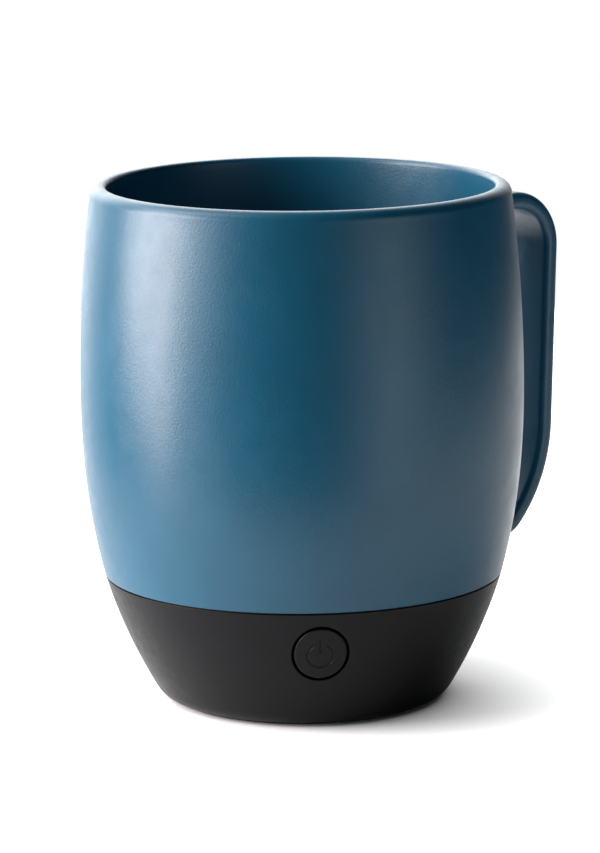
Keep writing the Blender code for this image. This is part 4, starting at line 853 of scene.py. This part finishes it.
def button_cap(material):
    """The button: its face follows the base's side and carries a generic power mark."""
    half_width = HOLE_HALF_WIDTH - BUTTON_GAP
    half_height = HOLE_HALF_HEIGHT - BUTTON_GAP
    face_width = half_width - BUTTON_EDGE_ROUND
    face_height = half_height - BUTTON_EDGE_ROUND
    builder = bmesh.new()
    centre = builder.verts.new(base_point(0, BUTTON_HEIGHT, -BUTTON_PROUD))
    rings = [[centre] * BUTTON_STEPS]
    for share in levels(0, 1, BUTTON_FACE_ROWS)[1:]:
        ring = button_ring(builder, face_width * share, face_height * share, -BUTTON_PROUD, marked=True)
        rings.append(ring)
    edges = []
    for tilt in levels(0, math.pi / 2, BUTTON_EDGE_ROWS)[1:]:
        offset = -BUTTON_EDGE_ROUND * (1 - math.sin(tilt))
        edges.append((offset, BUTTON_EDGE_ROUND * (1 - math.cos(tilt)) - BUTTON_PROUD))
    edges += [(0, FLANGE_FRONT), (FLANGE_REACH, FLANGE_FRONT), (FLANGE_REACH, FLANGE_BACK)]
    edges.append((STEM_RADIUS - half_width, FLANGE_BACK))
    for offset, depth in edges:
        rings.append(button_ring(builder, half_width + offset, half_height + offset, depth))
    rings.append([builder.verts.new((STEM_END, vertex.co.y, vertex.co.z)) for vertex in rings[-1]])
    for first, second in zip(rings, rings[1:]):
        fill_between(builder, first, second)
    builder.faces.new(rings[-1])
    turn_to_button(builder)
    obj = finish_mesh("button_cap", builder, material)
    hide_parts("power_button")
    return obj


def box_profile(inner, outer, bottom, top, radius):
    """A ring's section with rounded corners."""
    corners = [(outer, top), (outer, bottom), (inner, bottom), (inner, top)]
    points = []
    for index, corner in enumerate(corners):
        points += rounded(corners[index - 1], corner, corners[(index + 1) % len(corners)], radius)
    return points


def seam_ring(material):
    """The thin dark gasket that shows as a line between body and base."""
    outer = base_radius(BASE_TOP) - SEAM_RING_INSET
    bottom = BASE_TOP + SEAM_RING_CLEARANCE
    top = SHELL_BOTTOM - SEAM_RING_CLEARANCE
    section = box_profile(outer - SEAM_RING_WIDTH, outer, bottom, top, SEAM_RING_CLEARANCE)
    obj = lathe("seam_ring", section, material)
    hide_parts("seam_gasket")
    return obj


def foot_pad(material):
    """The silicone foot ring, with shallow grooves in its sole."""
    outer = FOOT_OUTER_RADIUS
    inner = FOOT_INNER_RADIUS
    pitch = (outer - inner) / (FOOT_GROOVES + 1)
    half = pitch * FOOT_GROOVE_SHARE
    flare = half * FOOT_GROOVE_FLARE
    sole = []
    for index in range(FOOT_GROOVES):
        middle = outer - pitch * (index + 1)
        sole += [
            (middle + flare, 0),
            (middle + half, FOOT_GROOVE_DEPTH),
            (middle - half, FOOT_GROOVE_DEPTH),
            (middle - flare, 0),
        ]
    profile = [
        *rounded((inner, FOOT_THICKNESS), (outer, FOOT_THICKNESS), (outer, 0), SMALL_ROUND),
        *rounded((outer, FOOT_THICKNESS), (outer, 0), (inner, 0), SMALL_ROUND),
        *sole,
        *rounded((outer, 0), (inner, 0), (inner, FOOT_THICKNESS), SMALL_ROUND),
        *rounded((inner, 0), (inner, FOOT_THICKNESS), (outer, FOOT_THICKNESS), SMALL_ROUND),
    ]
    obj = lathe("foot_pad", profile, material)
    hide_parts("foot_ring")
    return obj


def cover_disc(material):
    """The disc under the base, with a fine raised edge round the contacts."""
    outer = RABBET_RADIUS - SEAT_GAP
    rib_outer = RING_CONTACT_OUTER_RADIUS + COVER_RIB_OUTER_GAP
    rib_inner = RING_CONTACT_OUTER_RADIUS + COVER_RIB_INNER_GAP
    rib_face = COVER_BOTTOM - COVER_RIB_HEIGHT
    profile = [
        (0, COVER_TOP),
        *rounded((0, COVER_TOP), (outer, COVER_TOP), (outer, COVER_BOTTOM), SMALL_ROUND),
        *rounded((outer, COVER_TOP), (outer, COVER_BOTTOM), (0, COVER_BOTTOM), SMALL_ROUND),
        (rib_outer, COVER_BOTTOM),
        (rib_outer - SMALL_ROUND, rib_face),
        (rib_inner + SMALL_ROUND, rib_face),
        (rib_inner, COVER_BOTTOM),
        (0, COVER_BOTTOM),
    ]
    obj = lathe("cover_disc", profile, material)
    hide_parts("bottom_cover")
    return obj


def contacts(material):
    """The two plated contacts in the underside."""
    face_top = CONTACT_FACE + CONTACT_THICKNESS
    centre_radius = CENTRE_CONTACT_RADIUS
    profile = [
        (0, CONTACT_TOP),
        (CENTRE_TAIL_RADIUS, CONTACT_TOP),
        (CENTRE_TAIL_RADIUS, face_top),
        (centre_radius, face_top),
        *rounded((centre_radius, face_top), (centre_radius, CONTACT_FACE), (0, CONTACT_FACE), SMALL_ROUND),
        (0, CONTACT_FACE),
    ]
    centre = lathe("centre_contact_disc", profile, material, CONTACT_STEPS)
    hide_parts("centre_contact")
    section = box_profile(
        RING_CONTACT_INNER_RADIUS, RING_CONTACT_OUTER_RADIUS, CONTACT_FACE, face_top, SMALL_ROUND
    )
    band = lathe("ring_contact_band", section, material, CONTACT_STEPS)
    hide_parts("ring_contact")
    return [centre, band]


def dress_nodes(finishes):
    """Gives each carried-over node the finish of its slot."""
    slots = {part["node"]: part["material_slot"] for part in frame["record"]["subparts"]}
    for name, obj in frame["nodes"].items():
        obj.data.materials.clear()
        obj.data.materials.append(finishes[slots[name]])
        obj.data.shade_smooth()
        obj.data.set_sharp_from_angle(angle=math.radians(CAD_SHARP_ANGLE))


def camera_turn():
    """The camera's orientation: heading round Z, pitch below the horizon, then a slight roll."""
    heading = Matrix.Rotation(math.radians(CAMERA_HEADING), 4, "Z")
    pitch = Matrix.Rotation(math.radians(90 + CAMERA_PITCH), 4, "X")
    roll = Matrix.Rotation(math.radians(CAMERA_ROLL), 4, "Z")
    return heading @ pitch @ roll


def add_camera():
    data = bpy.data.cameras.new("camera")
    data.lens = CAMERA_LENS
    data.sensor_width = CAMERA_SENSOR
    data.sensor_fit = "AUTO"
    data.clip_start = CAMERA_NEAR
    obj = bpy.data.objects.new("camera", data)
    obj.matrix_world = Matrix.Translation(CAMERA_PLACE) @ camera_turn()
    bpy.context.scene.collection.objects.link(obj)
    bpy.context.scene.camera = obj


def from_camera(right, away, up):
    """A place given to the right of, away from and above the mug's foot, as the camera sees it."""
    angle = math.radians(CAMERA_HEADING)
    x = right * math.cos(angle) - away * math.sin(angle)
    y = right * math.sin(angle) + away * math.cos(angle)
    return Vector((x, y, up))


def softbox(name, place, target, size, radiance, lean):
    """A soft lamp with an even face of a given radiance, turned by a lean within its own plane."""
    data = bpy.data.lights.new(name, "AREA")
    data.shape = "RECTANGLE"
    data.size = size[0]
    data.size_y = size[1]
    data.energy = radiance * math.pi * size[0] * size[1]
    obj = bpy.data.objects.new(name, data)
    obj.location = place
    facing = (Vector(target) - place).to_track_quat("-Z", "Y").to_matrix()
    obj.rotation_euler = (facing @ Matrix.Rotation(math.radians(-lean), 3, "Z")).to_euler()
    bpy.context.scene.collection.objects.link(obj)
    return obj


def add_lights():
    """One tall box on the left, which reaches from below the table top to high above the mug."""
    place = from_camera(*KEY_PLACE)
    key = softbox("key_box", place, from_camera(0, 0, KEY_PLACE[2]), KEY_SIZE, KEY_RADIANCE, KEY_LEAN)
    key.data.color = KEY_TINT


def glow(nodes, links, direction, azimuth, elevation, power, strength):
    """Light from round one direction; azimuth 0 is away from the camera and -90 is to its left."""
    turn = math.radians(azimuth)
    rise = math.radians(elevation)
    middle = from_camera(math.sin(turn) * math.cos(rise), math.cos(turn) * math.cos(rise), math.sin(rise))
    along = nodes.new("ShaderNodeVectorMath")
    along.operation = "DOT_PRODUCT"
    along.inputs[1].default_value = middle
    links.new(direction, along.inputs[0])
    front = combined(nodes, links, "MAXIMUM", along.outputs["Value"], 0)
    narrow = combined(nodes, links, "POWER", front, power)
    return combined(nodes, links, "MULTIPLY", narrow, strength)


def combined(nodes, links, operation, first, second):
    """A value put together by one node with another value or a number."""
    both = nodes.new("ShaderNodeMath")
    both.operation = operation
    links.new(first, both.inputs[0])
    if isinstance(second, (int, float)):
        both.inputs[1].default_value = second
    else:
        links.new(second, both.inputs[1])
    return both.outputs["Value"]


def gloss_or_glass(nodes, links, path):
    """One for a ray that comes off gloss or through glass, and else nothing."""
    gloss = path.outputs["Is Glossy Ray"]
    return combined(nodes, links, "MAXIMUM", gloss, path.outputs["Is Transmission Ray"])


def white_surround():
    """The world: white to the camera, and behind the mug also to gloss and glass; else soft glows."""
    world = bpy.data.worlds.new("studio")
    bpy.context.scene.world = world
    world.use_nodes = True
    nodes = world.node_tree.nodes
    links = world.node_tree.links
    back = nodes["Background"]
    back.inputs["Color"].default_value = (1, 1, 1, 1)
    path = nodes.new("ShaderNodeLightPath")
    direction = nodes.new("ShaderNodeTexCoord").outputs["Generated"]
    behind = glow(nodes, links, direction, *BACKDROP)
    total = combined(nodes, links, "MULTIPLY", behind, gloss_or_glass(nodes, links, path))
    for parts in GLOWS:
        total = combined(nodes, links, "ADD", total, glow(nodes, links, direction, *parts))
    strength = nodes.new("ShaderNodeMix")
    links.new(path.outputs["Is Camera Ray"], strength.inputs["Factor"])
    links.new(total, strength.inputs["A"])
    strength.inputs["B"].default_value = 1
    links.new(strength.outputs["Result"], back.inputs["Strength"])
    cool = nodes.new("ShaderNodeBackground")
    cool.inputs["Color"].default_value = (*FILL_TINT, 1)
    links.new(glow(nodes, links, direction, *FILL), cool.inputs["Strength"])
    both = nodes.new("ShaderNodeAddShader")
    links.new(back.outputs["Background"], both.inputs[0])
    links.new(cool.outputs["Background"], both.inputs[1])
    links.new(both.outputs["Shader"], nodes["World Output"].inputs["Surface"])


def floor_finish():
    """Pale top, lit and shadowed like any other, plus a white glow to the camera and in gloss and glass,
    which carries a painted shadow round the foot.
    """
    made = bpy.data.materials.new("pale_top")
    made.use_nodes = True
    nodes, links = tree_of(made)
    nodes.remove(nodes["Principled BSDF"])
    path = nodes.new("ShaderNodeLightPath")
    lit = nodes.new("ShaderNodeBsdfDiffuse")
    lit.inputs["Color"].default_value = (FLOOR_WHITE, FLOOR_WHITE, FLOOR_WHITE, 1)
    # Painted shadow: the white glow dims round the foot as the ambient occlusion finds less open sky there
    open_sky = nodes.new("ShaderNodeAmbientOcclusion")
    open_sky.inputs["Distance"].default_value = PAINTED_SHADOW_REACH
    ranged = nodes.new("ShaderNodeMapRange")
    ranged.inputs["From Min"].default_value = PAINTED_SHADOW_DARK
    ranged.inputs["From Max"].default_value = 1
    links.new(open_sky.outputs["AO"], ranged.inputs["Value"])
    place = nodes.new("ShaderNodeNewGeometry")
    away = nodes.new("ShaderNodeVectorMath")
    away.operation = "DISTANCE"
    away.inputs[1].default_value = from_camera(*GLOSS_PATCH_PLACE)
    links.new(place.outputs["Position"], away.inputs[0])
    behind = nodes.new("ShaderNodeMapRange")
    behind.inputs["From Min"].default_value = GLOSS_PATCH_EDGE
    behind.inputs["From Max"].default_value = GLOSS_PATCH_CORE
    links.new(away.outputs["Value"], behind.inputs["Value"])
    gloss = gloss_or_glass(nodes, links, path)
    mirrored = combined(nodes, links, "MULTIPLY", behind.outputs["Result"], gloss)
    seen = combined(nodes, links, "MAXIMUM", path.outputs["Is Camera Ray"], mirrored)
    # The glow that makes the top white, darkened by the painted shadow
    shown = nodes.new("ShaderNodeEmission")
    shade = combined(nodes, links, "MULTIPLY", ranged.outputs["Result"], seen)
    links.new(shade, shown.inputs["Strength"])
    both = nodes.new("ShaderNodeAddShader")
    links.new(lit.outputs["BSDF"], both.inputs[0])
    links.new(shown.outputs["Emission"], both.inputs[1])
    links.new(both.outputs["Shader"], nodes["Material Output"].inputs["Surface"])
    return made


def add_floor():
    """A pale table top round the mug, square to the view."""
    builder = bmesh.new()
    front = [from_camera(right, FLOOR_FRONT, 0) for right in (FLOOR_LEFT, FLOOR_RIGHT)]
    back = [from_camera(right, FLOOR_BACK, 0) for right in (FLOOR_RIGHT, FLOOR_LEFT)]
    builder.faces.new([builder.verts.new(corner) for corner in (*front, *back)])
    obj = finish_mesh("floor", builder, floor_finish())


def make_pieces():
    """Dresses the carried-over nodes, and makes the pieces that replace the visible ones."""
    coat = powder_coat()
    plastic = moulded_plastic("charcoal_base", CHARCOAL, roughness=0.38)
    dark_rubber = rubber("dark_silicone", BLACK)
    gold = metal("plated_contact", GOLD, roughness=0.22, stretch=(1, 1, 1))
    steel = metal("drawn_steel", STEEL, roughness=0.32, stretch=(1, 8, 1))
    aluminium = metal("rolled_aluminium", ALUMINIUM, roughness=0.34, stretch=(8, 1, 1))
    dark = moulded_plastic("black_moulding", BLACK, roughness=0.45)
    finishes = {
        "blue_powder_coat": coat,
        "charcoal_plastic": plastic,
        "black_plastic": dark,
        "black_silicone": dark_rubber,
        "bare_steel": steel,
        "bare_aluminium": aluminium,
        "plated_brass": gold,
        "amber_film": film("amber_film_sheet", AMBER, roughness=0.35),
        "white_insulation": fibre_white(),
        "green_board": board_green(),
        "blue_cell_sleeve": film("cell_sleeve", CELL_BLUE, roughness=0.3),
        "red_lead": rubber("red_insulation", RED),
        "pale_lens": film("pale_nylon", WHITE, roughness=0.3),
    }
    dress_nodes(finishes)
    pieces = [
        (cup_body(coat), "mug", "blue_powder_coat"),
        (handle(coat), "mug", "blue_powder_coat"),
        (base_shell(plastic), "mug", "charcoal_plastic"),
        (button_cap(plastic), "button", "charcoal_plastic"),
        (seam_ring(dark_rubber), "mug", "black_silicone"),
        (foot_pad(dark_rubber), "mug", "black_silicone"),
        (cover_disc(dark), "mug", "charcoal_plastic"),
    ]
    pieces += [(piece, "mug", "plated_brass") for piece in contacts(gold)]
    for piece, body, slot in pieces:
        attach(piece, body)


make_pieces()
add_camera()
add_lights()
white_surround()
add_floor()
bpy.context.scene.view_settings.view_transform = "Standard"
